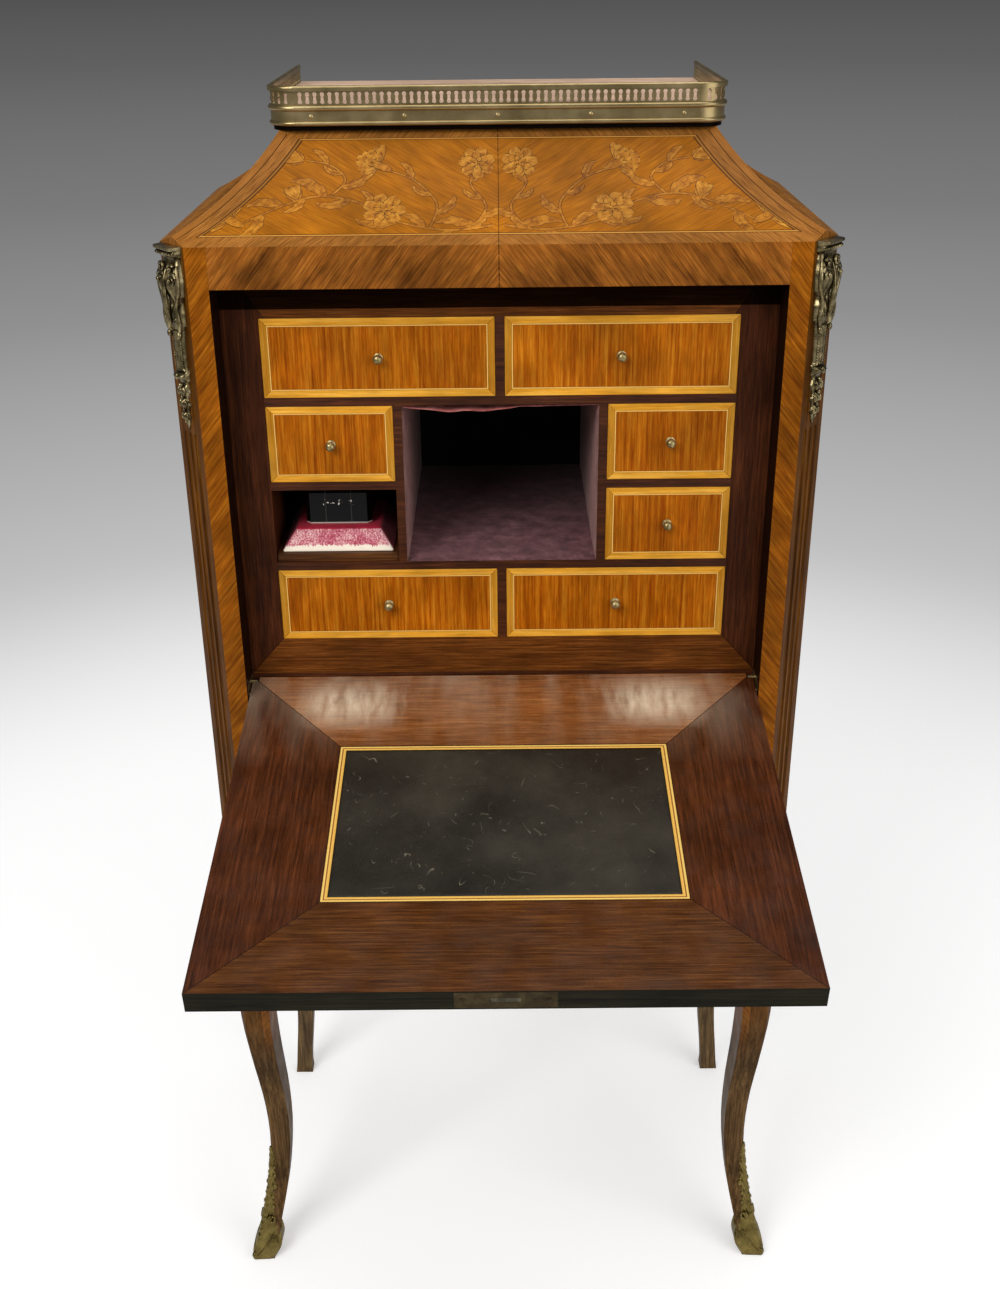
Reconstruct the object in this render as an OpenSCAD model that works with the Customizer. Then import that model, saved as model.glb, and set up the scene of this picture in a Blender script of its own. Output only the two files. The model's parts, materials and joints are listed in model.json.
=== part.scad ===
// Fall-front escritoire on four shaped legs, with a coved top, a brass gallery, a fitted interior
// of seven small drawers, and one long drawer under the fall. Shown with the fall let down.
// X runs to the right, Y to the back and Z up; the floor is at Z = 0.

/* [Case] */
// Width over the two sides
case_w = 596.8; // [560:0.2:680]
// Depth from the front face to the back
case_d = 340; // [300:1:400]
// Width of each canted corner, seen from the front
cant_w = 26.4; // [18:0.2:34]
// Depth of each canted corner
cant_d = 32; // [24:1:40]
// Width of a front post's flat face beside the opening
stile_w = 19; // [15:0.5:36]
// Depth of a front post
post_d = 50; // [44:1:60]
// Width and depth of a back post
back_post = 36; // [30:1:44]
// Thickness of a side panel
side_t = 14; // [10:1:20]
// Thickness of the back panel
back_t = 8; // [6:1:12]
// Setback of the back panel from the back of the posts
back_setback = 4; // [2:1:8]
// Thickness of the boards inside the case
board_t = 12; // [9:1:16]
// Depth of the front rails
rail_d = 38; // [36:1:44]
// Height of the frieze rail above the fall
frieze_h = 36.5; // [30:0.5:50]
// Height of the rail below the fall
lower_rail_h = 36; // [30:1:50]
// Radius of the three flutes on each canted corner
flute_r = 2.9; // [2:0.1:3.4]
// Distance between the middles of two flutes
flute_pitch = 9; // [8:0.5:10]
// Height at which the flutes end above the floor
flute_foot_z = 585; // [580:1:700]

/* [Legs] */
// Height from the floor to the underside of the case
leg_h = 572; // [540:1:620]
// Height of the apron in the middle of the front
apron_h = 38; // [24:1:60]
// Height of the bracket where an apron meets a leg
bracket_h = 46; // [30:1:60]
// Height of the cast mount on a front foot
sabot_h = 154; // [120:2:180]
// Thickness of the cast mount on a front foot
sabot_t = 3.4; // [2:0.2:5]

/* [Fall] */
// Length of the fall from its hinged edge to its free edge
fall_l = 426; // [400:1:450]
// Thickness of the fall with its veneers
fall_t = 20; // [18:0.5:22]
// Thickness of the veneers on the fall
veneer_t = 1.5; // [1:0.1:2]
// Gap between each end of the fall and its jamb
fall_gap = 1.5; // [1:0.1:2]
// Gap over the free edge of the fall when it is shut
head_gap = 1; // [0.6:0.1:2]
// Gap under the hinged edge of the fall when it is shut
sill_gap = 1.6; // [1.6:0.1:3]
// Setback of the hinge line behind the front face
pivot_y = 14; // [12:0.5:14]
// Height of the hinge line above the hinged edge
pivot_up = 22.6; // [18:0.2:22.6]
// Angle that the fall opens through
open_angle = 98.6; // [90:0.1:98.6]
// Radius of a hinge pin
pin_r = 3; // [2.5:0.1:3.5]
// Radial clearance of a hinge pin in its plate
pin_clearance = 0.05; // [0.02:0.01:0.1]
// Width of the writing leather with its stringing
leather_w = 310; // [260:1:340]
// Distance from the hinged edge to the stringing
leather_back = 114.6; // [90:0.2:130]
// Distance from the free edge to the stringing
leather_front = 99.5; // [80:0.5:120]
// Width of the stringing
string_w = 7; // [4:0.5:9]

/* [Lock] */
// Width of the lock plate on the free edge
lock_w = 81; // [70:1:90]
// Thickness of the lock and strike plates
plate_t = 1.6; // [1:0.1:2.4]
// Width of the bolt
bolt_w = 24; // [18:1:30]
// Thickness of the bolt
bolt_t = 5; // [3:0.5:6]
// Length of the bolt
bolt_l = 28; // [20:1:30]
// Height of the lock case behind its plate
lock_case_h = 38; // [36:1:44]

/* [Interior] */
// Setback of the inner frame behind the front face
frame_y = 38; // [38:0.5:40]
// Thickness of the inner frame
frame_t = 12; // [9:1:16]
// Width of the side members of the inner frame
frame_w = 34; // [26:1:44]
// Height of the foot member of the inner frame
frame_foot_h = 38; // [30:1:44]
// Height of the board behind the hinged edge
kick_h = 37; // [34:1:40]
// Height of one row of the nest of drawers
row_h = 74; // [71:0.5:76]
// Thickness of the shelves and dividers of the nest
shelf_t = 8; // [6:0.5:9]
// Width of the middle compartment
middle_w = 184; // [150:1:210]
// Thickness of the velvet lining
velvet_t = 1.5; // [1:0.1:2.5]
// Gap round a drawer front
drawer_gap = 0.5; // [0.3:0.1:1]
// Gap under a drawer
runner_gap = 0.3; // [0.2:0.1:0.5]
// Thickness of a small drawer's front
front_t = 12; // [8:1:16]
// Thickness of a small drawer's sides and back
drawer_side_t = 6; // [4:0.5:8]
// Thickness of a drawer's bottom
drawer_bottom_t = 4; // [3:0.5:6]
// Space behind a small drawer
drawer_room = 19.5; // [17:0.5:90]
// Radius of a small drawer knob
knob_r = 4.6; // [3.5:0.1:6]

/* [Long drawer] */
// Height of the opening for the long drawer
long_h = 113; // [90:1:130]
// Thickness of the long drawer's front
long_front_t = 18; // [12:1:22]
// Thickness of the long drawer's sides and back
long_side_t = 10; // [7:1:12]
// Space behind the long drawer
long_room = 38; // [28:1:120]
// Distance from the middle to each knob of the long drawer
long_knob_x = 150; // [100:1:200]
// Radius of a knob on the long drawer
long_knob_r = 7; // [5:0.5:9]

/* [Ink tray] */
// Thickness of the tray's base board
tray_t = 8; // [6:0.5:9]
// Depth of the tray
tray_d = 130; // [116:1:200]
// Side of the velvet plinth at its foot
plinth_w = 111; // [100:1:112]
// Side of the velvet plinth at its top
plinth_top_w = 82; // [72:1:90]
// Height of the velvet plinth
plinth_h = 20; // [16:1:22]
// Side of the square glass inkwell
well_w = 64; // [54:1:70]
// Height of the inkwell's square body
well_h = 34; // [24:1:36]
// Radius of the inkwell's neck
neck_r = 17; // [14:0.5:22]
// Height of the inkwell's neck
neck_h = 7; // [5:0.5:9]
// Radius of the hollow in the inkwell
well_bore_r = 13; // [8:0.5:14]

/* [Coved top] */
// Height of the cove
cove_h = 83.5; // [60:0.5:110]
// Distance that the cove draws in on each side
cove_in = 102.4; // [80:0.2:120]
// Radius of the hollow curve
cove_r = 250; // [120:1:400]
// Thickness of the coved boards
cove_t = 14; // [10:1:18]
// Thickness of the top board
top_t = 21.5; // [18:0.5:24]
// Distance that the top board stands out past the cove
top_out = 6.5; // [4:0.5:10]
// Radius of the top board's two front corners
top_corner_r = 22; // [14:1:30]

/* [Gallery] */
// Thickness of the gallery's metal
gallery_t = 2; // [1.5:0.1:2.6]
// Height of the gallery's foot band up to the pierced strip
band_h = 17.5; // [16:0.5:22]
// Height of the pierced strip
fret_h = 11.5; // [9:0.5:15]
// Height of the gallery's top rail
hand_h = 4.7; // [3.6:0.1:6]
// Distance between two piercings
pierce_pitch = 6.6; // [6:0.1:8]
// Width of one piercing
pierce_w = 3.8; // [3:0.1:4.4]
// Distance between two screws in the front band
screw_pitch = 83; // [60:1:90]

/* [Corner mounts] */
// Height of a corner mount
mount_h = 166; // [150:1:180]
// Width of a corner mount at its scrolled head
mount_w = 34; // [28:1:38]

/* [Hidden] */

$fn = 48;
// A cut runs this far past what it cuts, and let-in pieces this little
over = 1;
eps = 0.01;

// Colours
kingwood = "#a8642c";
rosewood = "#4a2418";
ebonised = "#231a16";
tulipwood = "#bf7630";
oak = "#a5794a";
satinwood = "#d9a441";
bronze = "#6f5f33";
brass = "#b59a5b";
steel = "#8b8b88";
crimson = "#8e1737";
mauve = "#5d3d4a";
hide = "#1d211f";
glass = "#cfd8d8";

// Heights, from the floor up
case_z = leg_h;
long_z = case_z + board_t;
lower_rail_z = long_z + long_h;
sill_z = lower_rail_z + lower_rail_h;
fall_z = sill_z + sill_gap;
fall_top_z = fall_z + fall_l;
head_z = fall_top_z + head_gap;
eave_z = head_z + frieze_h;
cove_top_z = eave_z + cove_h;
top_z = cove_top_z + top_t;
nest_z = sill_z + kick_h + frame_foot_h;
nest_top_z = nest_z + 4 * row_h + 3 * shelf_t;

// Widths, from the middle out
half_w = case_w / 2;
half_front = half_w - cant_w;
half_open = half_front - stile_w;
half_fall = half_open - fall_gap;
half_nest = half_open - frame_w;
half_middle = middle_w / 2;
inside_x = half_w - side_t;
back_y = case_d - back_setback - back_t;
back_post_y = case_d - back_post;

// The hinge line, and the way the fall lies when it is let down
pivot_z = fall_z + pivot_up;
fall_end_y = pivot_y + (fall_t - pivot_y) * cos(open_angle)
    - (fall_top_z - pivot_z) * sin(open_angle);

// The origin is under the middle of the whole piece with its fall let down
middle_y = (fall_end_y + case_d) / 2;

module placed() {
    translate([0, -middle_y, 0]) children();
}

// A block between two corners
module block(low, high) {
    translate(low) cube(high - low);
}

module both_sides() {
    children();
    mirror([1, 0, 0]) children();
}

// An outline drawn in X and Z, given a thickness along Y from y0 to y1
module upright(y0, y1) {
    translate([0, y1, 0]) rotate([90, 0, 0]) linear_extrude(y1 - y0) children();
}

// An outline drawn in Y and Z, given a thickness along X from x0 to x1
module sideways(x0, x1) {
    translate([x0, 0, 0]) rotate([90, 0, 90]) linear_extrude(x1 - x0) children();
}

// Smooth curve through a list of stations, each one a height and the sizes there
function station(keys, z, i = 0) =
    i >= len(keys) - 2 || z <= keys[i + 1][0] ? i : station(keys, z, i + 1);
function slope(keys, i, c) =
    let (a = max(i - 1, 0), b = min(i + 1, len(keys) - 1))
    (keys[b][c] - keys[a][c]) / (keys[b][0] - keys[a][0]);
function along(keys, z, c) =
    let (
        i = station(keys, z),
        h = keys[i + 1][0] - keys[i][0],
        t = (z - keys[i][0]) / h,
        p = keys[i][c], q = keys[i + 1][c],
        m = slope(keys, i, c) * h, n = slope(keys, i + 1, c) * h
    )
    (2 * t * t * t - 3 * t * t + 1) * p + (t * t * t - 2 * t * t + t) * m
        + (3 * t * t - 2 * t * t * t) * q + (t * t * t - t * t) * n;

// A closed skin over a stack of rings that all have the same number of points
module skin(rings) {
    n = len(rings[0]);
    last = len(rings) - 1;
    walls = [
        for (i = [0 : last - 1], k = [0 : n - 1])
            let (a = i * n + k, b = i * n + (k + 1) % n)
            each [[a, a + n, b], [b, a + n, b + n]]
    ];
    foot = [for (k = [0 : n - 1]) k];
    head = [for (k = [n - 1 : -1 : 0]) last * n + k];
    polyhedron([for (r = rings) each r], concat(walls, [foot, head]));
}

// The legs start to curve in just below the brackets of the aprons
knee_drop = 8;
knee_z = case_z - apron_h - bracket_h - knee_drop;

// Front legs: height, how far the outer faces stand in, width, depth and share of the cant
front_keys = [
    [0, -9, 24, 27, 0.05],
    [36, 0, 22.5, 25, 0.05],
    [96, 12.5, 22.5, 25, 0.05],
    [140, 17.5, 23, 26, 0.05],
    [180, 18.8, 24, 28, 0.05],
    [228, 16.4, 25, 33, 0.05],
    [293, 9.4, 27.5, 39, 0.05],
    [350, 3.6, 31.5, 43.5, 0.12],
    [400, 0.7, 36.2, 46.5, 0.35],
    [440, 0, 40.5, 48.5, 0.7],
    [knee_z, 0, half_w - half_open, post_d, 1]
];
// Back legs: height, how far the outer side stands in, width and depth
back_keys = [
    [0, 2, 23, 19],
    [7, 3, 21, 17.5],
    [36, 5.5, 20.5, 18],
    [94, 10.5, 21, 20],
    [140, 12, 22, 24],
    [200, 11, 24, 26],
    [293, 6, 27, 29],
    [400, 0, 32, 33],
    [knee_z, 0, back_post, back_post]
];
leg_rings = 16;
foot_rings = 14;
leg_heights = concat(
    [for (i = [0 : foot_rings]) sabot_h * i / foot_rings],
    [for (i = [1 : leg_rings]) sabot_h + (knee_z - sabot_h) * i / leg_rings]
);

// The right front leg at one height
function leg_corner(z) = let (inset = along(front_keys, z, 1)) [half_w - inset, inset];
function leg_cant(z) = [half_w - half_front, cant_d] * along(front_keys, z, 4);
function leg_ring(z) =
    let (p = leg_corner(z), c = leg_cant(z))
    let (w = along(front_keys, z, 2), d = along(front_keys, z, 3))
    [
        [p.x - w, p.y, z], [p.x - c.x, p.y, z], [p.x, p.y + c.y, z],
        [p.x, p.y + d, z], [p.x - w, p.y + d, z]
    ];

// Outline of a front post, from the jamb round the canted corner
module post_outline() {
    polygon([
        [half_open, 0], [half_front, 0], [half_w, cant_d], [half_w, post_d], [half_open, post_d]
    ]);
}

// Places its children on the canted corner: X across it, Y out of it
cant_angle = atan2(half_w - half_front, cant_d);
cant_width = norm([half_w - half_front, cant_d]);
module on_cant() {
    translate([(half_front + half_w) / 2, cant_d / 2, 0])
        rotate([0, 0, 90 - cant_angle])
            mirror([0, 1, 0]) children();
}

mount_foot_z = eave_z - mount_h;
flute_top_z = mount_foot_z - 6;
flute_out = 0.6;
module flute() {
    half = (flute_top_z - flute_foot_z) / 2;
    translate([0, 0, flute_foot_z + half]) rotate_extrude() polygon(concat(
        [for (a = [-90 : 30 : 0]) [flute_r * cos(a), flute_r * sin(a) - half]],
        [for (a = [0 : 30 : 90]) [flute_r * cos(a), flute_r * sin(a) + half]]
    ));
}

// A hinge pin ends in a blind hole that is this deep, and wider than the pin by the slack
pin_reach = 3.2;
pin_slack = 0.4;
jamb_plate_t = 2.5;
module front_post() {
    difference() {
        union() {
            translate([0, 0, knee_z]) linear_extrude(eave_z - knee_z) post_outline();
            skin([for (z = leg_heights) leg_ring(z)]);
        }
        on_cant() for (i = [-1 : 1]) translate([i * flute_pitch, flute_out, 0]) flute();
        jamb_plate_space();
        translate([half_open - eps, pivot_y, pivot_z]) rotate([0, 90, 0])
            cylinder(r = pin_r + pin_slack, h = jamb_plate_t + pin_reach);
    }
}
module post_front_right() color(kingwood) placed() front_post();
module post_front_left() color(kingwood) placed() mirror([1, 0, 0]) front_post();

function back_leg_ring(z) =
    let (x = half_w - along(back_keys, z, 1), w = along(back_keys, z, 2), d = along(back_keys, z, 3))
    [[x - w, case_d - d, z], [x, case_d - d, z], [x, case_d, z], [x - w, case_d, z]];
module back_leg() {
    block([half_w - back_post, back_post_y, knee_z], [half_w, case_d, eave_z]);
    skin([for (z = leg_heights) back_leg_ring(z)]);
}
module leg_back_right() color(kingwood) placed() back_leg();
module leg_back_left() color(kingwood) placed() mirror([1, 0, 0]) back_leg();

// The bracket curve along an apron, from 0 in its middle to 1 at a leg
bracket_power = 6;
apron_swell = 5;
function bracket(u) = -bracket_h * pow(u, bracket_power) + apron_swell * cos(180 * u);
curve_steps = 32;
function apron_edge(half, middle) = [
    for (i = [-curve_steps : curve_steps])
        let (u = i / curve_steps) [middle + half * u, case_z - apron_h + bracket(abs(u))]
];

module side_panel() {
    half = (back_post_y - post_d) / 2;
    sideways(inside_x, half_w) polygon(concat(
        apron_edge(half, post_d + half),
        [[back_post_y, eave_z], [post_d, eave_z]]
    ));
}
module side_right() color(kingwood) placed() side_panel();
module side_left() color(kingwood) placed() mirror([1, 0, 0]) side_panel();

apron_t = 18;
module apron() color(kingwood) placed()
    upright(0, apron_t) polygon(concat(
        apron_edge(half_open, 0), [[half_open, long_z], [-half_open, long_z]]
    ));

module frieze_rail() color(kingwood) placed() difference() {
    block([-half_open, 0, head_z], [half_open, rail_d, eave_z]);
    strike_space();
    block([-bolt_w / 2 - bolt_room, bolt_y - bolt_t / 2 - bolt_room, head_z],
        [bolt_w / 2 + bolt_room, bolt_y + bolt_t / 2 + bolt_room,
            head_z + bolt_travel + plate_t + bolt_room]);
}
module lower_rail() color(kingwood) placed()
    block([-half_open, 0, lower_rail_z], [half_open, rail_d, sill_z]);

// A board across the case, with a tongue between the posts
module case_board(y0, z0, z1) {
    block([-half_open, y0, z0], [half_open, post_d, z1]);
    block([-inside_x, post_d, z0], [inside_x, back_post_y, z1]);
    block([-half_w + back_post, back_post_y, z0], [half_w - back_post, back_y, z1]);
}
module bottom_board() color(oak) placed() case_board(apron_t, case_z, long_z);
module dust_board() color(oak) placed() case_board(rail_d, sill_z - board_t, sill_z);
module case_top() color(oak) placed() case_board(rail_d, eave_z - board_t, eave_z);

guide_h = 20;
module drawer_guides() color(oak) placed() both_sides()
    block([half_open, post_d, long_z], [inside_x, back_post_y, long_z + guide_h]);

// The hollow of the cove is one arc, seen here in the plane across a coved board
cove_chord = norm([cove_in, cove_h]);
cove_tilt = atan2(cove_h, cove_in);
cove_rise = sqrt(cove_r * cove_r - cove_chord * cove_chord / 4);
cove_centre = [
    cove_in / 2 - cove_rise * sin(cove_tilt),
    eave_z + cove_h / 2 + cove_rise * cos(cove_tilt)
];
// How far in from the eave the back of a coved board lies at a height
function cove_back_in(z) =
    cove_centre.x + sqrt(pow(cove_r + cove_t, 2) - pow(cove_centre.y - z, 2));

cove_fn = 180;
module cove_section() {
    intersection() {
        translate([-eps, eave_z]) square([cove_back_in(cove_top_z) + over, cove_h]);
        difference() {
            translate(cove_centre) circle(r = cove_r + cove_t, $fn = cove_fn);
            translate(cove_centre) circle(r = cove_r, $fn = cove_fn);
        }
    }
}
// The eave seen from above, with its two canted corners
module eave_outline() {
    polygon([
        [-half_front, 0], [half_front, 0], [half_w, cant_d], [half_w, case_d],
        [-half_w, case_d], [-half_w, cant_d]
    ]);
}
module cove_front() color(kingwood) placed() intersection() {
    sideways(-half_w, half_w) cove_section();
    translate([0, 0, eave_z - over]) linear_extrude(cove_h + 2 * over) intersection() {
        eave_outline();
        polygon([[-half_w, 0], [half_w, 0], [0, half_w]]);
    }
}
module cove_side() {
    intersection() {
        translate([half_w, 0, 0]) mirror([1, 0, 0]) upright(0, case_d) cove_section();
        translate([0, 0, eave_z - over]) linear_extrude(cove_h + 2 * over) intersection() {
            eave_outline();
            polygon([[half_w, 0], [half_w, case_d], [half_w - case_d, case_d]]);
        }
    }
}
module cove_right() color(kingwood) placed() cove_side();
module cove_left() color(kingwood) placed() mirror([1, 0, 0]) cove_side();

gable_steps = 10;
gable_gap = 0.3;
module back_panel() color(oak) placed() upright(back_y, back_y + back_t) {
    translate([-half_w + back_post, case_z]) square([case_w - 2 * back_post, eave_z - case_z]);
    edge = [
        for (i = [0 : gable_steps])
            let (z = eave_z + cove_h * i / gable_steps) [half_w - cove_back_in(z) - gable_gap, z]
    ];
    polygon(concat(edge, [for (i = [gable_steps : -1 : 0]) [-edge[i].x, edge[i].y]]));
}

half_top = half_w - cove_in + top_out;
top_front_y = cove_in - top_out;
corner_fn = 96;
// The top board's plan with rounded front corners, grown outwards, from z0 to z1
module top_plan(grow, z0, z1, back = case_d) {
    for (s = [-1, 1])
        translate([s * (half_top - top_corner_r), top_front_y + top_corner_r, z0])
            cylinder(r = top_corner_r + grow, h = z1 - z0, $fn = corner_fn);
    block([-half_top + top_corner_r, top_front_y - grow, z0],
        [half_top - top_corner_r, back, z1]);
    block([-half_top - grow, top_front_y + top_corner_r, z0], [half_top + grow, back, z1]);
}
module top_board() color(tulipwood) placed() difference() {
    top_plan(0, cove_top_z, top_z);
    gallery_screw_places() screw_hole();
}

// The gallery's foot lies a little above the underside of the top board
gallery_lift = 4;
gallery_z = cove_top_z + gallery_lift;
gallery_gap = 0.1;
// A flat strip on edge round the front and both sides; from and to are measured outwards
module gallery_strip(from, to, z0, z1) difference() {
    top_plan(gallery_gap + to, z0, z1);
    top_plan(gallery_gap + from, z0 - over, z1 + over, case_d + over);
}
// Sweeps an outline along the front and both sides; X in the outline points outwards
module gallery_run() {
    r = top_corner_r + gallery_gap;
    y = top_front_y + top_corner_r;
    x = half_top - top_corner_r;
    translate([-x, y, 0]) rotate([90, 0, 90]) linear_extrude(2 * x)
        mirror([1, 0, 0]) translate([r, 0]) children();
    both_sides() {
        translate([x, y, 0]) rotate([0, 0, -90]) rotate_extrude(angle = 90, $fn = corner_fn)
            translate([r, 0]) children();
        translate([x, case_d, 0]) rotate([90, 0, 0]) linear_extrude(case_d - y)
            translate([r, 0]) children();
    }
}
fret_z = gallery_z + band_h;
hand_z = fret_z + fret_h;
bead_r = 2;
astragal_r = 2.6;
moulding_sink = 0.5;
// A round moulding on the band's outer face; nothing of it reaches the inner face
module band_moulding(r, z) intersection() {
    translate([gallery_t - moulding_sink, z]) circle(r = r);
    translate([0, z - r]) square(2 * r + gallery_t);
}
module gallery_band() color(brass) placed() difference() {
    union() {
        gallery_strip(0, gallery_t, gallery_z, fret_z);
        translate([0, 0, gallery_z]) gallery_run() {
            band_moulding(bead_r, bead_r);
            band_moulding(astragal_r, band_h - astragal_r);
        }
    }
    gallery_screw_places() screw_hole();
}
// The rail is a flat strip with a round bead along its top
rail_bead_r = 1.9;
rail_strip_z = hand_z + hand_h - rail_bead_r;
module gallery_rail() color(brass) placed() {
    gallery_strip(0, 2 * rail_bead_r, hand_z, rail_strip_z);
    translate([0, 0, rail_strip_z]) gallery_run() translate([rail_bead_r, 0])
        circle(r = rail_bead_r);
}

// One piercing is a short bar with a round eye at each end
eye_margin = 0.7;
slot_w = 2.6;
eye_fn = 24;
module piercing() {
    bar_h = fret_h - pierce_w - 2 * eye_margin;
    depth = 6 * gallery_t;
    cube([slot_w, depth, bar_h], center = true);
    for (s = [-1, 1]) translate([0, 0, s * bar_h / 2]) rotate([90, 0, 0])
        cylinder(r = pierce_w / 2, h = depth, center = true, $fn = eye_fn);
}
// The pierced strip is thinner than the band, and stands back from both of its faces
fret_in = 0.5;
fret_end = 4;
module gallery_fret() color(brass) placed() {
    straight = half_top - top_corner_r;
    front_n = floor(2 * straight / pierce_pitch);
    side_n = floor((case_d - top_front_y - top_corner_r - fret_end) / pierce_pitch);
    corner_n = floor(PI / 2 * top_corner_r / pierce_pitch) - 1;
    difference() {
        gallery_strip(fret_in, gallery_t - fret_in, fret_z, hand_z);
        translate([0, 0, fret_z + fret_h / 2]) {
            for (i = [0 : front_n - 1])
                translate([(i - (front_n - 1) / 2) * pierce_pitch, top_front_y, 0]) piercing();
            for (s = [-1, 1], i = [0 : side_n - 1])
                translate([
                    s * half_top, top_front_y + top_corner_r + fret_end + i * pierce_pitch, 0
                ]) rotate([0, 0, 90]) piercing();
            for (s = [-1, 1], i = [1 : corner_n])
                translate([s * straight, top_front_y + top_corner_r, 0])
                    rotate([0, 0, s * 90 * i / (corner_n + 1)])
                        translate([0, -top_corner_r, 0]) piercing();
        }
    }
}

screw_r = 1.2;
screw_l = 6;
screw_slack = 0.1;
screw_z = gallery_z + band_h / 2 - 0.8;
side_screw_in = 30;
head_round_r = 3;
head_h = 0.9;
module gallery_screw_places() {
    for (i = [-2 : 2]) translate([i * screw_pitch, top_front_y, screw_z])
        rotate([90, 0, 0]) children();
    both_sides() for (i = [0 : 2])
        translate([half_top, top_front_y + top_corner_r + side_screw_in + i * screw_pitch, screw_z])
            rotate([0, 90, 0]) children();
}
module screw_hole() {
    cylinder(r = screw_r + screw_slack, h = 2 * screw_l + over, center = true);
}
module gallery_screws() color(brass) placed() gallery_screw_places() {
    translate([0, 0, -screw_l])
        cylinder(r = screw_r, h = screw_l + gallery_gap + gallery_t + head_h / 2);
    translate([0, 0, gallery_gap + gallery_t]) intersection() {
        translate([0, 0, head_h - head_round_r]) sphere(r = head_round_r);
        translate([0, 0, head_round_r]) cube(2 * head_round_r, center = true);
    }
}

// Corner mount: a scrolled head over a tapered and grooved pilaster, a ring and a drop of husks.
// Its heights are measured down from the eave.
mount_gap = 0.05;
abacus_h = 6;
abacus_out = 11;
scroll_r = 8.4;
scroll_h = 10;
scroll_eye_r = 3;
leaf_r = 10;
shoulder_drop = 0.38 * mount_h;
shoulder_h = mount_h / 4;
shoulder_r = 0.37 * mount_w;
shoulder = [
    [0, 0], [0.48, 0], [0.76, 0.17], [0.96, 0.41], [1, 0.63], [0.84, 0.85], [0.64, 1], [0, 1]
];
pilaster_drop = 106;
pilaster_h = 50;
groove_r = 1.4;
ring_r = 7.5;
ring_h = 8;
husk_n = 3;
husk_pitch = 17;
husk_shrink = 0.22;
module mount_half() {
    intersection() {
        children();
        block([-mount_w, mount_gap, mount_foot_z - over], [mount_w, mount_w, eave_z]);
    }
}
module mount_head() {
    block([-mount_w / 2, mount_gap, eave_z - abacus_h], [mount_w / 2, abacus_out, eave_z]);
    block([-mount_w / 2 + 2, mount_gap, eave_z - abacus_h - 2],
        [mount_w / 2 - 2, abacus_out - 2, eave_z - abacus_h]);
    // Two scrolls with a rolled leaf between them
    mount_half() {
        for (s = [-1, 1])
            translate([s * (mount_w / 2 - scroll_r + over), 0, eave_z - abacus_h - scroll_r])
                rotate([-90, 0, 0]) {
                    cylinder(r = scroll_r, h = scroll_h);
                    cylinder(r = scroll_eye_r, h = scroll_h + 2);
                }
        translate([0, 3, eave_z - 2 * leaf_r]) rotate([0, 90, 0])
            cylinder(r = leaf_r, h = mount_w / 2, center = true);
    }
    // Bulging shoulder below the scrolls
    mount_half() translate([0, 0, eave_z - shoulder_drop]) rotate_extrude()
        polygon([for (p = shoulder) [p.x * shoulder_r, p.y * shoulder_h]]);
}
module mount_pilaster() {
    z = eave_z - pilaster_drop;
    difference() {
        hull() {
            block([-9, mount_gap, z + pilaster_h - 1], [9, 7, z + pilaster_h]);
            block([-6, mount_gap, z], [6, 5.5, z + 1]);
        }
        for (s = [-1, 1]) translate([s * 2 * groove_r, 6.6, z + 4])
            cylinder(r = groove_r, h = pilaster_h - 10);
    }
    mount_half() translate([0, 1, z - ring_h / 2 + over]) cylinder(r = ring_r, h = ring_h, center = true);
}
// Husks, each smaller than the one above
module mount_husks() {
    z = eave_z - pilaster_drop - ring_h;
    mount_half() for (i = [0 : husk_n - 1]) {
        k = 1 - husk_shrink * i;
        translate([0, 0.5, z - i * husk_pitch]) rotate_extrude() polygon([
            [0, 3], [2.4, 3], [4.2 * k, 0], [7 * k, -6], [5.4 * k, -12], [2, -husk_pitch],
            [0, -husk_pitch]
        ]);
    }
}
module corner_mounts() color(bronze) placed() both_sides() on_cant() {
    mount_head();
    mount_pilaster();
    mount_husks();
}

// Cast foot: a leaf that wraps the outer corner of the leg, with lobed edges
sabot_lobes = 4;
sabot_w0 = 6;
sabot_spread = 16;
sabot_wave = 0.14;
toe_out = 4.5;
function sabot_reach(z) =
    let (t = z / sabot_h)
    (sabot_w0 + sabot_spread * pow(1 - t, 0.7))
        * (1 - sabot_wave + sabot_wave * cos(360 * sabot_lobes * t));
function sabot_rise(z) =
    let (t = z / sabot_h)
    sabot_t * (0.75 - 0.25 * cos(360 * sabot_lobes * t)) + toe_out * pow(max(0, 1 - 5 * t), 2);
function sabot_ring(z) =
    let (p = leg_corner(z), c = leg_cant(z), w = sabot_reach(z), t = sabot_rise(z))
    [
        [p.x - w, p.y, z], [p.x - w * 0.9, p.y - t * 0.8, z], [p.x - c.x - 2, p.y - t, z],
        [p.x + t * 0.7, p.y - t * 0.7, z],
        [p.x + t, p.y + c.y + 2, z], [p.x + t * 0.8, p.y + w * 0.9, z], [p.x, p.y + w, z],
        [p.x, p.y + c.y, z], [p.x - c.x, p.y, z]
    ];
module sabots() color(bronze) placed() both_sides()
    skin([for (i = [0 : foot_rings]) sabot_ring(sabot_h * i / foot_rings)]);

// Inner frame: four mitred members seen from the front
module inner_frame() color(rosewood) placed() {
    x0 = half_nest;
    x1 = half_open;
    z0 = nest_z;
    z1 = nest_z - frame_foot_h;
    z2 = nest_top_z;
    z3 = head_z;
    z4 = eave_z - board_t;
    upright(frame_y, frame_y + frame_t)
        polygon([[-x1, z1], [x1, z1], [x0, z0], [-x0, z0]]);
    upright(frame_y, frame_y + frame_t)
        polygon([[-x1, z4], [-x1, z3], [-x0, z2], [x0, z2], [x1, z3], [x1, z4]]);
    both_sides() upright(frame_y, frame_y + frame_t)
        polygon([[x0, z0], [x1, z1], [x1, z3], [x0, z2]]);
}

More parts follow.
